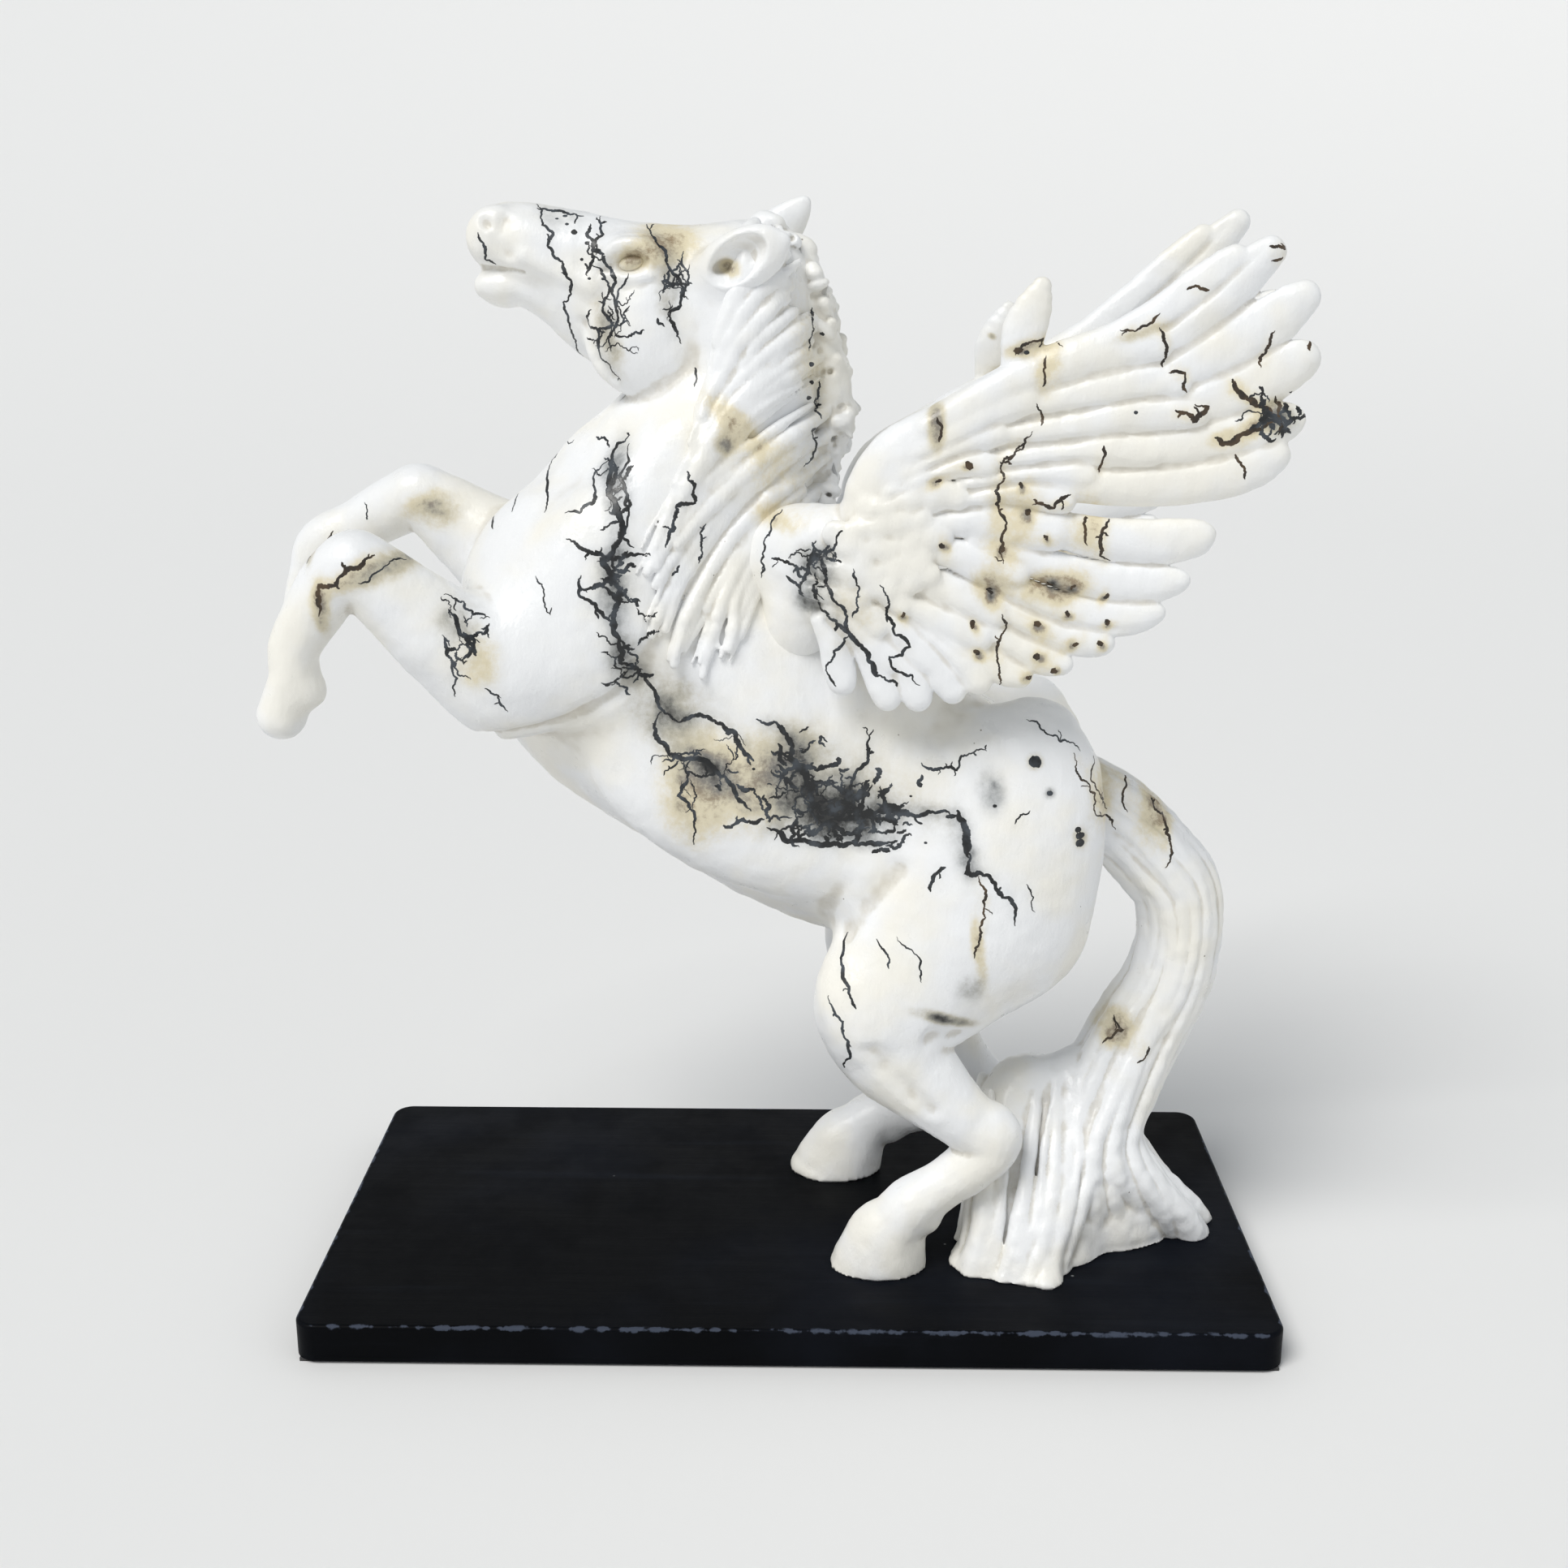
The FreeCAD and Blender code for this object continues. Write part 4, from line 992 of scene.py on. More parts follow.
def model_body(clay):
    clay.limb(TORSO)
    clay.limb(NECK, blend=14)
    for x, y, z, *radii, turn, yaw, blend in MUSCLES:
        for side in (LEFT, RIGHT):
            clay.blob((x, side * y, z), radii, turn, side * yaw, blend)
    clay.limb(LEFT_FORELEG, blend=12)
    clay.limb(RIGHT_FORELEG, blend=12)
    clay.limb(LEFT_HIND_LEG, blend=12)
    clay.limb(RIGHT_HIND_LEG, blend=12)
    for x, y, z, *radii, turn, yaw, blend in LEFT_JOINTS + RIGHT_JOINTS:
        clay.blob((x, y, z), radii, turn, yaw, blend)
    for x, y, z, *radii, turn, yaw, blend in HOLLOWS:
        for side in (LEFT, RIGHT):
            clay.blob((x, side * y, z), radii, turn, side * yaw, blend, carve=True)
    for points, radius, deep in CREASES:
        for side in (LEFT, RIGHT):
            clay.groove([(x, z, radius) for x, z in points], side, deep, blend=4)
    clay.limb(HEAD, blend=9)


# Creases of both sides: points (x, z), radius, depth.
CREASES = [
    ([(-121, 250), (-108, 252), (-90, 256), (-72, 265), (-58, 275)], 2.2, 1.8),
    ([(-58, 275), (-50, 290), (-46, 306)], 5.0, 1.2),
    ([(22, 168), (31, 182), (42, 196)], 5.0, 1.6),
    ([(34, 122), (44, 108), (58, 94)], 4.0, 0.5),
    ([(58, 126), (70, 124)], 3.0, 0.9),
]


# ---------------------------------------------------------------- castings of the body
HEAD_PLANE = ((-66, 0, 378), (-0.73, 0, 0.683))
NECK_PLANE = ((-50, 0, 338), (-0.1, 0, 0.995))
ELBOW_PLANES = {LEFT: ((-137, -50, 297), (-0.77, 0, 0.64)), RIGHT: ((-140, 41, 319), (-0.8, 0, 0.6))}
NECK_FRONT, HEAD_LOW, FORELEG_BACK, FOREARM_BACK = -130, 376, -122, -150
CHEST_SIDE = 22.0
GROIN = 150.0
# Blocks of clay: low corner, high corner, and for the body the pitch of its grid.
BODY_BLOCK = ((-232, -84, 8), (140, 84, 450), 1.4)
HEAD_BOX = ((-132, -40, 364), (24, 40, 460))


def beyond(points, plane):
    place, normal = plane
    return (points - np.array(place)) @ np.array(normal) > 0


def body_part(points):
    """The name of the casting that each point of the body belongs to."""
    x, y, z = points.T
    names = np.full(len(points), "torso", dtype="U16")
    names[beyond(points, NECK_PLANE) & (x > NECK_FRONT)] = "neck"
    names[beyond(points, HEAD_PLANE) & (z > HEAD_LOW)] = "head"
    for side, word in ((LEFT, "left"), (RIGHT, "right")):
        outside = (side * y > CHEST_SIDE) & (x < FORELEG_BACK)
        forearm = (x < FOREARM_BACK) & (side * y > 0)
        names[beyond(points, ELBOW_PLANES[side]) & outside | forearm] = f"{word}_foreleg"
        names[(z < GROIN) & (x > 0) & (side * y > 0)] = f"{word}_hind_leg"
    return names


def make_body(material):
    """Torso, neck and legs. Gives back the body without ears, for the mane to lie on."""
    clay = Clay(*BODY_BLOCK)
    model_body(clay)
    model_face(clay)
    clay.clip_below(BOARD_TOP)
    earless = Clay(*BODY_BLOCK)
    earless.field = clay.field.copy()
    model_ears(clay)
    skin = Skin(clay)
    labels = tidy_labels(skin.faces, body_part(skin.middles()))
    skin.meet_plane(labels, *HEAD_PLANE, *HEAD_BOX)
    for name, part in skin.pieces(labels):
        if name != "head":
            make_object(name + "_casting", part, [name], material)
    return earless


# ---------------------------------------------------------------- head
LOWER_JAW = [
    (-52, 0, 399, 17, 15),
    (-72, 0, 404, 15, 13),
    (-90, 0, 413, 10, 11),
    (-104, 0, 419, 7.5, 10.5),
    (-113, 0, 419.5, 8, 10.5),
    (-119, 0, 420, 5.5, 9),
]
EARS = {
    LEFT: [(-33, -15, 420, 6, 6), (-27, -20, 425, 10, 6.5), (-20, -24, 429, 11.5, 6), (-12, -26, 433, 10, 5),
           (-4, -27, 436.5, 4, 2.5)],
    RIGHT: [(-21, 13, 427, 5, 5), (-13, 16, 434, 8.5, 5.5), (-5, 18, 441, 8.5, 4.5), (1, 18, 447, 6, 3.5),
            (4.5, 18, 451, 3, 2.2)],
}


def model_face(clay):
    clay.limb(LOWER_JAW, blend=4)
    for side in (LEFT, RIGHT):
        clay.blob((-55, side * 14, 402), (25, 11.5, 25), blend=2.5)
        clay.blob((-59, side * 15, 431), (15, 8.5, 9), turn=5, blend=5)
        clay.blob((-116, side * 8, 440), (8.5, 6, 10), turn=20, blend=4)
        clay.blob((-92, side * 9, 432), (20, 6, 9), turn=8, blend=6)
        clay.blob((-61, side * 25, 429), (9.5, 6, 4.8), turn=-12, blend=2, carve=True)
        clay.blob((-71, side * 22.5, 426), (4, 4, 2.0), turn=-30, blend=1.5, carve=True)
        clay.blob((-117, side * 14.6, 443.5), (3.2, 2.6, 2.0), turn=38, blend=2.0, carve=True)
        brow = [(-73, 429.5, 1.4), (-66, 434.8, 2.2), (-57, 435.2, 2.4), (-49, 428.5, 1.6)]
        clay.ridge(brow, side, 1.5, 2.5)
        clay.ridge([(-71, 424.0, 1.2), (-62, 422.6, 1.8), (-53, 424, 1.2)], side, 1.0, 2)
        clay.ridge([(-76, 420, 2), (-90, 426, 2.5), (-102, 431, 1.5)], side, 0.9, 5)
        mouth = [(-128, 427, 1.3), (-118, 426.8, 1.3), (-110, 426.2, 1.2), (-103, 425.2, 1.0)]
        clay.groove(mouth, side, 1.2, 0.8)
        clay.groove([(-109, 445, 2), (-112, 438, 2.5), (-109, 432, 2)], side, 0.9, 3)
        clay.groove([(-80, 406, 2), (-77, 395, 2.5), (-70, 386, 2.5)], side, 0.8, 3)


def model_ears(clay):
    for side in (LEFT, RIGHT):
        clay.limb(EARS[side][:3], blend=4)
        ear_hollow(clay, side)


def ear_hollow(clay, side):
    x, y, z = EARS[side][2][:3]
    lean = -36 if side == LEFT else -48
    clay.blob((x - 1.0, y + side * 6.5, z + 0.3), (14.0, 7.5, 8.0), turn=lean, blend=1.2, carve=True)
    clay.blob((x - 5.5, y + side * 1.0, z - 1.5), (4.5, 6, 3.0), turn=-20, blend=1.5, carve=True)


def make_head(material):
    clay = Clay(*HEAD_BOX, 0.85)
    model_body(clay)
    model_face(clay)
    model_ears(clay)
    skin = Skin(clay)
    labels = tidy_labels(skin.faces, body_part(skin.middles()))
    skin.meet_plane(labels, *HEAD_PLANE, *HEAD_BOX)
    head = dict(skin.pieces(labels))["head"]
    make_object("head_casting", head, ["head"], material)
    for side, word in ((LEFT, "left"), (RIGHT, "right")):
        ear = Clay((-40, min(side * 4, side * 34), 410), (14, max(side * 4, side * 34), 462), 0.7)
        ear.limb(EARS[side])
        ear_hollow(ear, side)
        make_object(f"{word}_ear_leaf", whole(Skin(ear, 0.2, 0.12)), [f"{word}_ear"], material)
        eye = Clay((-70, min(side * 14, side * 26), 422), (-52, max(side * 14, side * 26), 436), 0.5)
        eye.blob((-61, side * 19.3, 428.6), (4.8, 2.3, 2.7), turn=-12)
        make_object(f"{word}_eye", whole(Skin(eye, 0, 0.05)), [f"{word}_eyeball"], material)


# ---------------------------------------------------------------- mane and tail
CREST = [
    (-10, 0, 441, 7, 6),
    (1, 0, 425, 10.5, 8),
    (7, 0, 401, 11, 9),
    (13, 0, 374, 12, 10),
    (8, 0, 350, 11, 10),
    (5, 0, 330, 10, 9),
]
MANE_FRONT = [(-20, 412), (-30, 388), (-35, 363), (-46, 336), (-56, 312), (-51, 290), (-36, 280), (-18, 284)]
# Thickness and number of the strands of each layer.
MANE_LAYERS = [(3.6, 15), (2.6, 34), (1.8, 60), (1.2, 50)]
CREST_LUMPS, CREST_NICKS = 90, 60


def make_mane(material, body):
    """Wavy strands from the crest down over each side of the neck."""
    draw = random.Random(5)
    clay = Clay((-70, -66, 266), (40, 66, 454), 0.95)
    clay.limb(CREST)
    roots = smooth_path(CREST, 10)
    for _ in range(CREST_LUMPS):
        x, _, z, deep, _ = roots[int(draw.random() * (len(roots) - 1))]
        size = draw.uniform(1.8, 4.2)
        reach = deep - size + draw.uniform(-0.5, 2.2)
        place = (x + reach * 0.98, draw.uniform(-9, 9), z + draw.uniform(-4, 4))
        clay.blob(place, (size * draw.uniform(0.8, 1.7), size, size * draw.uniform(0.7, 1.3)),
                  turn=draw.uniform(-20, 70), blend=1.2)
    front = smooth_path([(x, 0, z, 0, 0) for x, z in MANE_FRONT], 8)
    for side in (LEFT, RIGHT):
        for thick, count in MANE_LAYERS:
            for number in range(count):
                share = min(max((number + draw.uniform(-0.6, 0.6)) / (count - 1), 0), 1)
                root = roots[int(share * (len(roots) - 1))]
                end = front[int(share * (len(front) - 1))]
                strand(clay, body, side, root, end, thick, draw)
    for _ in range(CREST_NICKS):
        root = roots[int(draw.random() * (len(roots) - 1))]
        place = (root[0] + draw.uniform(-4, 9), draw.choice((LEFT, RIGHT)) * draw.uniform(8, 12), root[2])
        clay.blob(place, (1.3, 3.0, 1.6), turn=draw.uniform(0, 90), blend=0.8, carve=True)
    skin = Skin(clay, 0.45, 0.4)
    y = skin.middles()[:, 1]
    edge = 8 + 1.5 * np.sign(y)
    labels = np.where(y < -edge, "mane_locks_left", np.where(y > edge, "mane_locks_right", "mane_crest"))
    for name, part in skin.pieces(tidy_labels(skin.faces, labels)):
        make_object(name + "_hair", part, [name], material)


def strand(clay, body, side, root, end, thick, draw):
    """One strand: it leaves the crest level, then droops to its end, waving as it goes."""
    start = (root[0] + draw.uniform(-6, 5), root[2] + draw.uniform(-3, 3))
    end = (end[0] + draw.uniform(-3, 4), end[2] + draw.uniform(-5, 5))
    pull = draw.uniform(0.2, 0.4)
    bend = (end[0] + pull * (start[0] - end[0]), start[1] - 0.3 * (start[1] - end[1]) + draw.uniform(-7, 7))
    phase, waves, swing = draw.uniform(0, 6.3), draw.uniform(1.0, 3.0), draw.uniform(0.6, 2.4)
    lift = draw.uniform(0.2, 2.4) + 0.45 * thick
    first = 0 if thick > 3 else draw.choice((0, 0.1, draw.uniform(0.1, 0.7)))
    last = min(first + draw.uniform(0.35, 1.1), draw.uniform(0.85, 1.06))
    stations = []
    for place, share in enumerate(np.linspace(first, last, 12)):
        x = (1 - share) ** 2 * start[0] + 2 * share * (1 - share) * bend[0] + share**2 * end[0]
        z = (1 - share) ** 2 * start[1] + 2 * share * (1 - share) * bend[1] + share**2 * end[1]
        sway = swing * math.sin(phase + waves * 6.3 * share)
        x, z = x + 0.7 * sway, z + 0.7 * sway
        radius = thick * (0.45 + 0.75 * math.sin(math.pi * (0.12 + 0.8 * place / 11)))
        y = body.skin_y(x, z, side)
        if y is None or abs(y) < 7:
            y = side * 7
        stations.append((x, y + side * (lift - radius * 0.6), z, radius, radius))
    clay.limb(stations, blend=0.8, steps=2)


TAIL = [
    (106, 0, 222, 14, 12),
    (122, 0, 212, 18, 14),
    (139, 0, 201, 18.5, 15),
    (152, 0, 188, 18.5, 16),
    (164.5, 0, 172, 18.5, 17),
    (167, 0, 150, 18, 17),
    (163, 0, 129, 19, 17),
    (152, -2, 108, 21, 18),
    (142, -6, 88, 22, 20),
    (133, -12, 66, 22, 24),
    (131, -18, 42, 29, 28),
    (130, -20, 14, 48, 32),
]
# The hair that fans out from the tail to the hocks, and the line along which it starts.
WEB = [
    (138, -2, 92, 12, 12), (116, -6, 84, 14, 14), (98, -10, 80, 16, 16), (92, -22, 50, 17, 20),
    (93, -36, 16, 18, 22),
]
WEB_MIDDLE = [(128, -8, 84, 16, 16), (116, -20, 56, 20, 20), (112, -32, 16, 28, 24)]
WEB_TOP = [(140, -4, 105), (124, -5, 98.5), (108, -8, 94), (92, -12, 92), (82, -14, 94)]
# Where the tail meets the board, from its back edge round by the far side.
HEM = [
    (185, -6), (175, 3), (155, 7), (125, 5), (100, -5), (80, -20), (75, -40), (77, -56), (91, -60),
    (110, -61), (116, -46), (126, -32), (146, -23), (164, -14), (173, -20), (183, -17), (185, -6),
]
# Size, number and reach of the strands of each layer.
TAIL_LAYERS = [(1.9, 22, 0.88), (1.35, 18, 0.99), (0.9, 18, 1.03)]
WEB_STRANDS = ((LEFT, 44), (RIGHT, 20))


def make_tail(material):
    """A core with three layers of strands, which spread out over the board."""
    draw = random.Random(8)
    clay = Clay((62, -72, 12), (208, 40, 246), 1.0)
    clay.limb([(x, y, z, 0.8 * deep, (0.8 if z > 50 else 0.6) * half) for x, y, z, deep, half in TAIL])
    for run in (WEB, WEB_MIDDLE):
        clay.limb([(x, y, z, 0.85 * deep, 0.85 * half) for x, y, z, deep, half in run], blend=6)
    path = smooth_path(TAIL, 5)
    ways = np.gradient(path[:, :3], axis=0)
    ways /= np.linalg.norm(ways, axis=1)[:, None]
    hem = smooth_path([(x, y, 0, 0, 0) for x, y in HEM], 10)
    for size, count, out in TAIL_LAYERS:
        for number in range(count):
            tail_strand(clay, path, ways, hem, (number + draw.uniform(-0.45, 0.45)) / count, size, out, draw)
    top = smooth_path(WEB_TOP, 8)
    for side, count in WEB_STRANDS:
        for _ in range(count):
            web_strand(clay, top, hem, side, draw)
    clay.clip_below(BOARD_TOP)
    make_object("tail_hair", whole(Skin(clay, 0.5, 0.4)), ["tail"], material)


def tail_strand(clay, path, ways, hem, turn, size, out, draw):
    phase, swing, twist = draw.uniform(0, 6.3), draw.uniform(0.01, 0.035), draw.uniform(-0.07, 0.07)
    size *= draw.uniform(0.75, 1.3)
    first = 0 if out < 0.9 else draw.choice((0, draw.randint(1, 10), draw.randint(8, 26)))
    last = len(path) if out < 0.9 else draw.choice((len(path), draw.randint(first + 14, len(path) + 14)))
    run = range(first, min(last, len(path)))
    stations = []
    for place in run:
        x, y, z, deep, half = path[place]
        share = place / (len(path) - 1)
        angle = 2 * math.pi * (turn + twist * share + swing * math.sin(phase + 8 * share))
        level = np.cross(ways[place], (0, 1, 0))
        reach = 0.86 * out
        spot = np.array((x, y, z)) + level * deep * reach * math.cos(angle)
        spot = spot + np.array((0, 1, 0)) * half * reach * math.sin(angle)
        hem_spot = hem[int(angle / (2 * math.pi) % 1 * (len(hem) - 1))]
        settle = np.clip((66 - spot[2]) / 52, 0, 1) ** 1.5
        spot[:2] += (hem_spot[:2] - spot[:2]) * settle
        ends = min(1, 0.35 + 0.2 * min(place - first, run[-1] - place if run[-1] < len(path) - 1 else 99))
        radius = size * ends * (0.85 + 0.045 * half + 0.022 * deep)
        stations.append((*spot, radius, radius))
    clay.limb(stations, blend=0.7, steps=1)


def web_strand(clay, top, hem, side, draw):
    """A strand from the top line of the web down to the hem on one side."""
    share = draw.random()
    shift = np.array((0, side * draw.uniform(7, 12), draw.uniform(-16, -6)))
    start = top[int(share * (len(top) - 1))] + shift
    places = (0.62, 0.40) if side == LEFT else (0.22, 0.36)
    along_hem = places[0] + (places[1] - places[0]) * share + draw.uniform(-0.02, 0.02)
    foot = hem[int(along_hem * (len(hem) - 1))]
    end = np.array((foot[0], foot[1], BOARD_TOP - 1))
    bend = (start + end) / 2 + np.array((4, side * 2, 10))
    size, phase, sway = draw.uniform(1.2, 2.8), draw.uniform(0, 6.3), draw.uniform(0.8, 2.4)
    stations = []
    for t in np.linspace(0, 1, 12):
        spot = (1 - t) ** 2 * start + 2 * t * (1 - t) * bend + t**2 * end
        spot = spot + np.array((sway * math.sin(phase + 5 * t), 0, 0))
        radius = size * (0.55 + 0.6 * t)
        stations.append((*spot, radius, radius))
    clay.limb(stations, blend=2.0, steps=1)


# ---------------------------------------------------------------- wings
WING_OUT, WING_FLARE = 54.0, 0.05
WING_WALL = 0.5
SCALE_ROWS, SCALE_COLUMNS = 8, 6
RIGHT_DROP, BEND_FROM, BEND_LENGTH, BEND_UP, BEND_BACK = 12.0, 95.0, 90.0, 26.0, 16.0
# Along the leading edge: x, z, deep, half, tuck towards the body.
WING_ARM = [
    (28, 332, 10, 10, 8),
    (33, 346, 12, 9, 4),
    (40, 357, 12.5, 8.5, 2),
    (49, 363.5, 12, 8, 1),
    (61, 371, 11, 7.5, 0),
    (76, 380.5, 9.5, 7, 0),
    (92, 390, 8.5, 6, 0),
    (110, 398, 7, 4.8, 0),
    (126, 404, 4, 3.5, 0),
]
WING_SHOULDER = [(-2, 318, 16, 12, 20), (4, 322, 18, 13, 17), (14, 324, 16, 12, 11)]
# Feathers, each a line of four points (x, z) in the wing's plane and a half width.
PRIMARIES = [
    ([(86, 391), (118, 401), (142, 415), (163, 434)], 8.8),
    ([(84, 385), (124, 395), (153, 416), (175, 437)], 8.8),
    ([(82, 378), (126, 386), (161, 401), (189, 421)], 10.4),
    ([(82, 370), (132, 376), (166, 386), (191, 399)], 10.2),
    ([(82, 361), (134, 363), (164, 368), (188, 376)], 9.6),
    ([(82, 351), (130, 350), (162, 355), (183, 364)], 9.2),
]
SECONDARIES = [
    ([(74, 340), (112, 331), (138, 329), (158, 332)], 8.8),
    ([(70, 330), (105, 317), (130, 313), (150, 315)], 7.8),
    ([(64, 321), (98, 305), (122, 300), (142, 303)], 7.2),
    ([(58, 314), (90, 298), (108, 292), (123, 290)], 6.6),
    ([(52, 309), (78, 294), (94, 285), (108, 281)], 6.4),
    ([(46, 306), (66, 291), (80, 281), (92, 276)], 6.6),
]
TERTIALS = [
    ([(40, 304), (54, 293), (66, 282), (75, 272)], 6.8),
    ([(34, 302), (48, 291), (58, 279), (65, 268)], 6.8),
    ([(26, 302), (38, 290), (46, 277), (51, 264)], 6.8),
    ([(18, 300), (29, 289), (35, 277), (39, 264)], 6.8),
    ([(12, 298), (17, 289), (19, 280), (21, 271)], 6.4),
]
GREATER_COVERTS = [
    ([(74, 384), (100, 393), (122, 399), (138, 401)], 6.8),
    ([(72, 376), (102, 382), (126, 387), (146, 387)], 6.6),
    ([(70, 367), (102, 371), (130, 376), (153, 376)], 6.4),
    ([(68, 358), (98, 361), (118, 363), (138, 362)], 6),
    ([(64, 350), (86, 354), (100, 355), (114, 353)], 5),
    ([(58, 343), (78, 347), (92, 346), (106, 343)], 5.2),
    ([(48, 336), (70, 336), (88, 333), (104, 331)], 7.2),
    ([(42, 328), (62, 324), (76, 319), (89, 315)], 6.6),
    ([(36, 320), (56, 312), (70, 305), (83, 300)], 6.2),
    ([(31, 312), (50, 302), (64, 296), (77, 290)], 6),
    ([(24, 307), (38, 298), (47, 289), (56, 280)], 6),
    ([(16, 303), (27, 295), (34, 287), (40, 279)], 5.8),
]
MEDIAN_COVERTS = [
    ([(50, 371), (66, 380), (82, 388), (93, 392)], 5.6),
    ([(48, 362), (64, 370), (78, 377), (91, 382)], 5.4),
    ([(44, 354), (58, 361), (70, 367), (80, 369)], 5.2),
    ([(38, 347), (54, 355), (66, 358), (77, 357)], 5.2),
    ([(32, 341), (46, 346), (56, 347), (66, 344)], 5.2),
    ([(26, 334), (40, 336), (50, 333), (60, 329)], 5.4),
    ([(20, 326), (34, 326), (44, 321), (54, 314)], 5.4),
    ([(14, 318), (27, 316), (37, 310), (46, 302)], 5.4),
    ([(8, 310), (20, 307), (29, 301), (36, 293)], 5.2),
]
ALULA = [(84, 396, 7, 4.2), (85, 405, 8.2, 4.2), (88, 413, 7.0, 3.6), (91, 421, 3.6, 2.4)]
# Rows laid over each other: label, feathers, half thickness, lift of base and tip, bluntness of the tip.
WING_ROWS = [
    ("primary", PRIMARIES, 5.0, 0.0, 0.0, 0.6),
    ("secondary", SECONDARIES, 5.0, -0.4, 0.2, 0.55),
    ("tertial", TERTIALS, 5.0, 0.4, 1.6, 0.7),
    ("covert", GREATER_COVERTS, 4.2, 1.4, 2.6, 0.75),
    ("covert", MEDIAN_COVERTS, 4.0, 3.2, 3.8, 0.75),
]


def wing_point(side, x, z, tuck=0.0):
    if side > 0:
        run = max(0.0, (x - BEND_FROM) / BEND_LENGTH)
        x, z = x + BEND_BACK * run, z + BEND_UP * run - RIGHT_DROP
    return x, side * (WING_OUT + WING_FLARE * x - tuck), z


def feather(side, line, width, thick, base, tip, blunt):
    """Stations of one feather that stands out by base at its root and by tip at its end."""
    path = smooth_path([(x, 0, z, 0, 0) for x, z in line], 3)
    stations = []
    for place, (x, _, z, _, _) in enumerate(path):
        share = place / (len(path) - 1)
        swell = 0.62 + 0.38 * math.sin(math.pi * min(share / 0.75, 1) / 2)
        narrow = 1 - (1 - blunt) * max(share - 0.75, 0) * 4
        lift = base + (tip - base) * share
        stations.append([*wing_point(side, x, z, -lift), width * swell * narrow, thick * (1 - 0.22 * share)])
    way = np.array(stations[-1][:3]) - np.array(stations[-2][:3])
    way /= np.linalg.norm(way)
    stations[-1][:3] = list(np.array(stations[-1][:3]) - way * stations[-1][3] * 0.95)
    return stations


def part_feathers(clay, side, feathers, base, tip):
    """Carves a groove between each feather and the next, on both faces of the wing."""
    for (line, _), (after, _) in zip(feathers, feathers[1:]):
        for face in (1, -1):
            stations = []
            for place, ((x0, z0), (x1, z1)) in enumerate(zip(line, after)):
                lift = face * (base + (tip - base) * place / 3)
                stations.append((*wing_point(side, (x0 + x1) / 2, (z0 + z1) / 2, -lift), 1.7, 1.7))
            clay.limb(stations, 1.2, steps=4, carve=True)


def run_level(points, stations):
    """Distance from scattered points to a run of stations."""
    lines = tuple(points.T)
    path = np.array(stations, float)
    return np.min([run_distance(lines, a, b) for a, b in zip(path, path[1:])], axis=0)


def make_wing(side, word, material):
    """The whole wing is modelled in one, so that its grooves are soft, and then parted feather by feather."""
    draw = random.Random(3)
    clay = Clay((-30, min(side * 18, side * 78), 252), (216, max(side * 18, side * 78), 456), 0.95)
    shapes = []

    def lay(label, stations, blend):
        clay.limb(stations, blend, steps=2)
        shapes.append((label, smooth_path(stations, 2)))

    for row, feathers, thick, base, tip, blunt in WING_ROWS:
        for number, (line, width) in enumerate(feathers, 1):
            label = {"tertial": f"{word}_tertial_feathers", "covert": f"{word}_covert_panel"}.get(
                row, f"{word}_{row}_feather_{number}")
            for face in (1, -0.7) if row == "covert" else (1,):
                lay(label, feather(side, line, width, thick, base * face, tip * face, blunt), 1.0)
        part_feathers(clay, side, feathers, thick + base, thick + tip)
    for row in range(SCALE_ROWS):
        for column in range(SCALE_COLUMNS):
            x = 8 + 8.6 * column + 4.3 * (row % 2) + draw.uniform(-1, 1)
            z = 304 + 7.4 * row + draw.uniform(-1, 1) + 0.3 * (x - 10)
            if 0.85 * (x - 4) + 318 > z and 17 < x < 56 - 0.25 * abs(z - 330) and z < 366:
                size = draw.uniform(3.8, 5.4)
                root, tip = wing_point(side, x - 4, z + 1, -3.6), wing_point(side, x + 2, z, -4.8)
                stations = [(*root, size, 2.4), (*tip, size, 2.6)]
                lay(f"{word}_covert_panel", stations, 2.2)
    lay(f"{word}_alula_feather", [(*wing_point(side, x, z), deep, half) for x, z, deep, half in ALULA], 1.5)
    for run in (WING_SHOULDER, WING_ARM):
        stations = [(*wing_point(side, x, z, tuck), deep, half) for x, z, deep, half, tuck in run]
        lay(f"{word}_wing_arm", stations, 2.5)
    for x, z, tuck, radii, lean in ((5, 304, 18, (16, 13, 26), 8), (20, 318, 9, (22, 9, 20), -35)):
        centre = wing_point(side, x, z, tuck)
        clay.blob(centre, radii, turn=lean, blend=6)
        ball = [(*centre, radii[0] * 0.9, radii[1] * 0.9), (*centre, radii[0] * 0.9, radii[1])]
        shapes.append((f"{word}_wing_arm", ball))
    skin = Skin(clay, 0.36, 0.22)
    middles = skin.middles()
    nearest, labels = np.full(len(middles), 1e9), np.full(len(middles), "", dtype="U40")
    for label, stations in shapes:
        level = run_level(middles, stations)
        closer = level < nearest
        nearest[closer], labels[closer] = level[closer], label
    for label, part in skin.pieces(tidy_labels(skin.faces, labels), WING_WALL):
        make_object(label + "_clay", part, [label], material)


# ---------------------------------------------------------------- veins
VEIN_STEP, VEIN_PROUD, VEIN_SUNK, VEIN_EDGE = 0.8, 0.07, 0.35, 0.06
VEIN_JUMP, VEIN_WIDEN = 3.5, 1.55


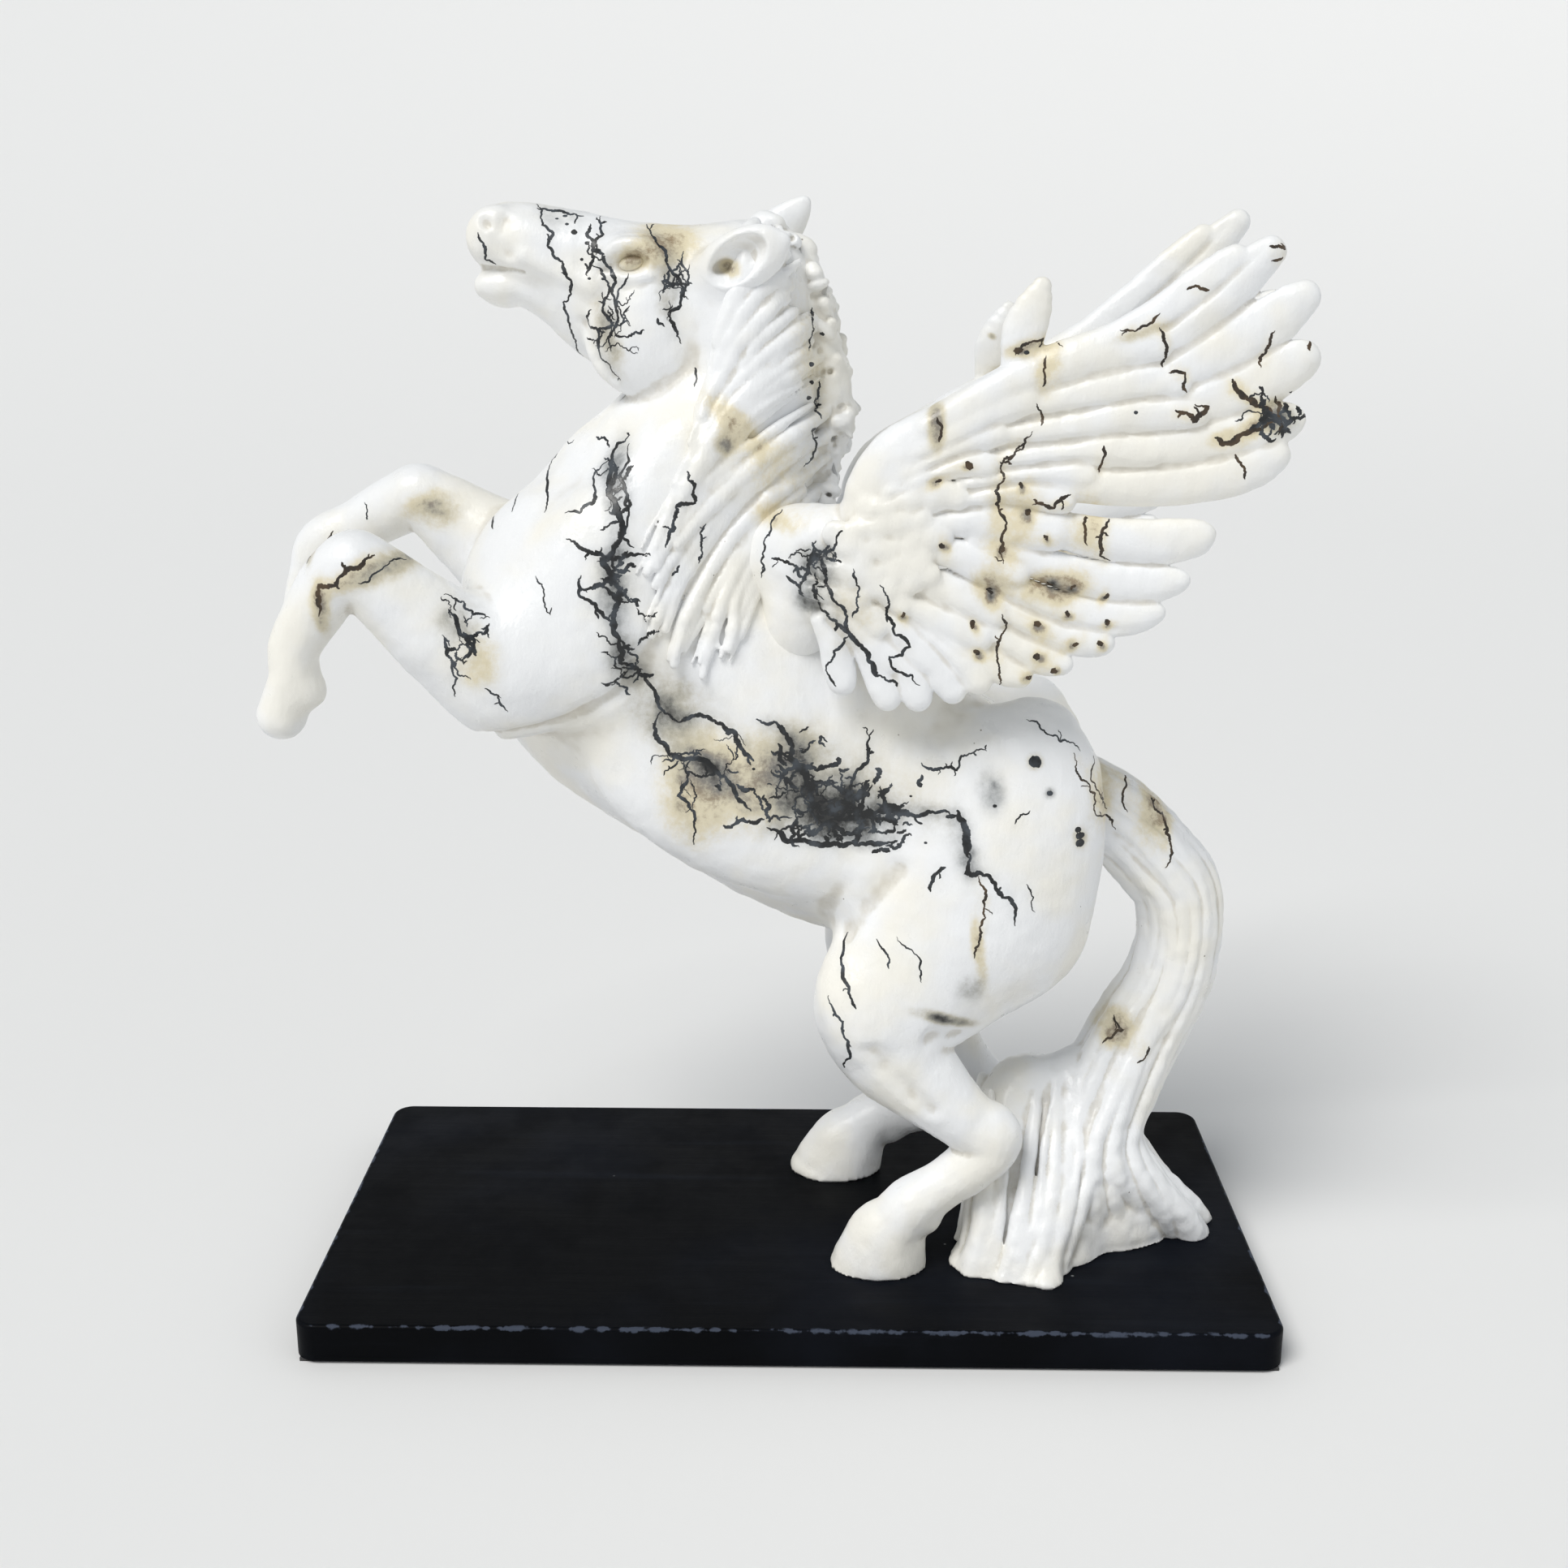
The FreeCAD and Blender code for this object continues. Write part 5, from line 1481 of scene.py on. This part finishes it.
def wander(points, draw, sway):
    """Breaks a line into short steps that stray sideways, less and less."""
    path = [np.array(point, float) for point in points]
    while True:
        finer = [path[0]]
        for a, b in zip(path, path[1:]):
            if np.linalg.norm(b - a) > VEIN_STEP:
                finer.append((a + b) / 2 + np.array((a[1] - b[1], b[0] - a[0])) * draw.uniform(-sway, sway))
            finer.append(b)
        if len(finer) == len(path):
            return path
        path = finer


class Veins:
    """Thin closed ribbons of one colour, laid on one side of the clay."""

    def __init__(self, side, seed, tree, corners, normals):
        self.side = side
        self.draw = random.Random(seed)
        self.tree, self.corners, self.normals = tree, corners, normals
        self.points, self.faces = [], []

    def land(self, x, z):
        """Where a ray from this side meets the clay, and the normal there."""
        place, _, face, _ = self.tree.ray_cast(Vector((x, self.side * 130, z)), Vector((0, -self.side, 0)))
        if face is None:
            return None
        normal = self.normals[self.corners[face]].mean(0)
        return np.array(place), normal / np.linalg.norm(normal)

    def line(self, points, width, sway=0.19, spurs=0.028):
        width = VEIN_WIDEN * width
        path = wander(points, self.draw, sway)
        run, lumps = [], [self.draw.uniform(0.6, 1.35) for _ in range(len(path) // 4 + 3)]
        for place, (x, z) in enumerate(path):
            share = place / max(len(path) - 1, 1)
            taper = min(1, 0.3 + 5 * min(share, 1 - share))
            found = self.land(x, z)
            if found is None or run and np.linalg.norm(found[0] - run[-1][0]) > VEIN_JUMP:
                self.ribbon(run)
                run = []
            if found:
                low, high = lumps[place // 4], lumps[place // 4 + 1]
                run.append((*found, width * taper * (low + (high - low) * (place % 4) / 4)))
            if self.draw.random() < spurs:
                self.spur(x, z, width)
        self.ribbon(run)

    def spur(self, x, z, width):
        angle, length = self.draw.uniform(0, 2 * math.pi), self.draw.uniform(1.2, 4.5)
        end = (x + length * math.cos(angle), z + length * math.sin(angle))
        self.line([(x, z), end], width / VEIN_WIDEN * self.draw.uniform(0.45, 0.75), 0.25, 0)

    def knot(self, centre, radii, count, width):
        for _ in range(count):
            spot = [c + 0.6 * r * self.draw.gauss(0, 1) for c, r in zip(centre, radii)]
            way = self.draw.uniform(0, 2 * math.pi)
            points = [spot]
            for _ in range(self.draw.randint(1, 4)):
                way += self.draw.uniform(-1.1, 1.1)
                length = self.draw.uniform(2.0, 5.0)
                x, z = points[-1]
                points.append([x + length * math.cos(way), z + length * math.sin(way)])
            self.line(points, width * self.draw.uniform(0.5, 1.4), 0.32, 0.02)

    def dot(self, x, z, radius):
        run = []
        for share in np.linspace(-0.94, 0.94, 7):
            found = self.land(x + radius * share, z)
            if found:
                run.append((*found, 2 * radius * math.sqrt(1 - share**2) * self.draw.uniform(0.85, 1.1)))
        self.ribbon(run)

    def ribbon(self, run):
        if len(run) < 3:
            return
        first = len(self.points)
        for place, (spot, normal, width) in enumerate(run):
            way = run[min(place + 1, len(run) - 1)][0] - run[max(place - 1, 0)][0]
            across = np.cross(normal, way)
            across *= 0.5 * width / max(np.linalg.norm(across), 1e-6)
            for share, height in ((-1, -VEIN_EDGE), (-0.6, VEIN_PROUD), (0.6, VEIN_PROUD), (1, -VEIN_EDGE),
                                  (0.6, -VEIN_SUNK), (-0.6, -VEIN_SUNK)):
                self.points.append(spot + share * across + height * normal)
        for place in range(len(run) - 1):
            row = first + 6 * place
            for corner in range(6):
                after = (corner + 1) % 6
                self.faces.append((row + corner, row + after, row + 6 + after, row + 6 + corner))
        last = first + 6 * (len(run) - 1)
        self.faces.append(tuple(range(first + 5, first - 1, -1)))
        self.faces.append(tuple(range(last, last + 6)))

    def finish(self, name, material):
        mesh = bpy.data.meshes.new(name)
        mesh.from_pydata((np.array(self.points) * MM).tolist(), [], self.faces)
        mesh.update()
        add_piece(name, mesh, material)


def make_veins(carbon, burnt):
    counts = np.cumsum([0] + [len(points) for points, _, _ in SURFACES])
    points = np.vstack([part[0] for part in SURFACES])
    normals = np.vstack([part[2] for part in SURFACES])
    corners = np.vstack([part[1] + count for part, count in zip(SURFACES, counts)])
    tree = BVHTree.FromPolygons(points.tolist(), corners.tolist())
    sides = ((LEFT, "left", LEFT_VEINS, LEFT_SCORCHES, LEFT_KNOTS, LEFT_DOTS),
             (RIGHT, "right", RIGHT_VEINS, RIGHT_SCORCHES, RIGHT_KNOTS, RIGHT_DOTS))
    for side, word, black, brown, knots, dots in sides:
        veins = Veins(side, 21, tree, corners, normals)
        for width, line in black:
            veins.line(line, width)
        for knot in knots:
            veins.knot(*knot)
        for dot in dots:
            veins.dot(*dot)
        veins.finish(f"smoke_veins_{word}", carbon)
        scorches = Veins(side, 22, tree, corners, normals)
        for width, line in brown:
            scorches.line(line, width)
        for x, z in BURNS:
            way = scorches.draw.uniform(0, math.pi)
            end = (x + 2.6 * math.cos(way), z + 2.6 * math.sin(way))
            scorches.line([(x, z), end], scorches.draw.uniform(0.8, 1.8), 0.3, 0)
        scorches.finish(f"scorched_lines_{word}", burnt)


# ---------------------------------------------------------------- stage
def make_stage():
    """A pale bowl: a round floor that curves up into a low wall all round, far out."""
    floor, bend, rise, rows, turns = 2.5, 17.5, math.radians(50), 48, 96
    profile = [(0.5, 0.0)]
    for row in range(rows + 1):
        angle = rise * row / rows
        profile.append((floor + bend * math.sin(angle), bend * (1 - math.cos(angle))))
    points = []
    for reach, z in profile:
        for turn in range(turns):
            angle = 2 * math.pi * turn / turns
            points.append((reach * math.cos(angle), reach * math.sin(angle), z))
    faces = [tuple(range(turns))]
    for row in range(len(profile) - 1):
        for turn in range(turns):
            after = (turn + 1) % turns
            near, far = row * turns, (row + 1) * turns
            faces.append((near + turn, far + turn, far + after, near + after))
    mesh = bpy.data.meshes.new("sweep")
    mesh.from_pydata(points, [], faces)
    mesh.polygons.foreach_set("use_smooth", [True] * len(mesh.polygons))
    sweep = bpy.data.objects.new("sweep", mesh)
    bpy.context.collection.objects.link(sweep)
    paper = Finish("pale_paper")
    paper.set(Base_Color=(0.85, 0.85, 0.85, 1), Roughness=0.9)
    mesh.materials.append(paper.material)


def add_sun(name, towards, strength, softness, colour):
    sun = bpy.data.lights.new(name, "SUN")
    sun.energy = strength
    sun.angle = math.radians(softness)
    sun.color = colour
    lamp = bpy.data.objects.new(name, sun)
    lamp.rotation_euler = Vector(towards).to_track_quat("-Z", "Y").to_euler()
    bpy.context.collection.objects.link(lamp)


def make_lights():
    """Soft daylight from the upper left, a weak one from the right, and a pale sky all round."""
    add_sun("key", (0.62, 0.72, -1.25), 2.15, 30, (1.0, 0.985, 0.955))
    add_sun("fill", (-0.9, 0.5, -0.5), 0.2, 40, (0.93, 0.97, 1.0))
    world = bpy.data.worlds.new("studio")
    world.use_nodes = True
    world.node_tree.nodes["Background"].inputs["Color"].default_value = (0.90, 0.955, 1.0, 1)
    world.node_tree.nodes["Background"].inputs["Strength"].default_value = 0.33
    bpy.context.scene.world = world


# Lens and sensor in millimetres, place in metres, degrees looking down and turned aside.
CAMERA_SENSOR, CAMERA_LENS = 36, 42.86
CAMERA_PLACE, CAMERA_DOWN, CAMERA_ASIDE = (0.0102, -0.7567, 0.4373), 16.26, 1.0


def make_camera():
    camera = bpy.data.cameras.new("camera")
    camera.sensor_width = CAMERA_SENSOR
    camera.lens = CAMERA_LENS
    eye = bpy.data.objects.new("camera", camera)
    eye.location = CAMERA_PLACE
    eye.rotation_euler = (math.radians(90 - CAMERA_DOWN), 0, math.radians(CAMERA_ASIDE))
    bpy.context.collection.objects.link(eye)
    bpy.context.scene.camera = eye


# ---------------------------------------------------------------- all together
bpy.context.scene.view_settings.view_transform = "Standard"
make_camera()
make_stage()
make_lights()
clay_look = clay_material()
body_clay = make_body(clay_look)
make_head(clay_look)
make_mane(clay_look, body_clay)
make_tail(clay_look)
make_wing(LEFT, "left", clay_look)
make_wing(RIGHT, "right", clay_look)
make_veins(carbon_material(), burnt_material())
steel_nodes = dict.fromkeys(("mounting_studs", "stud_washers", "stud_nuts"), steel_material())
dress_frame({"plinth_board": board_material(), "felt_sheet": felt_material(), **steel_nodes})
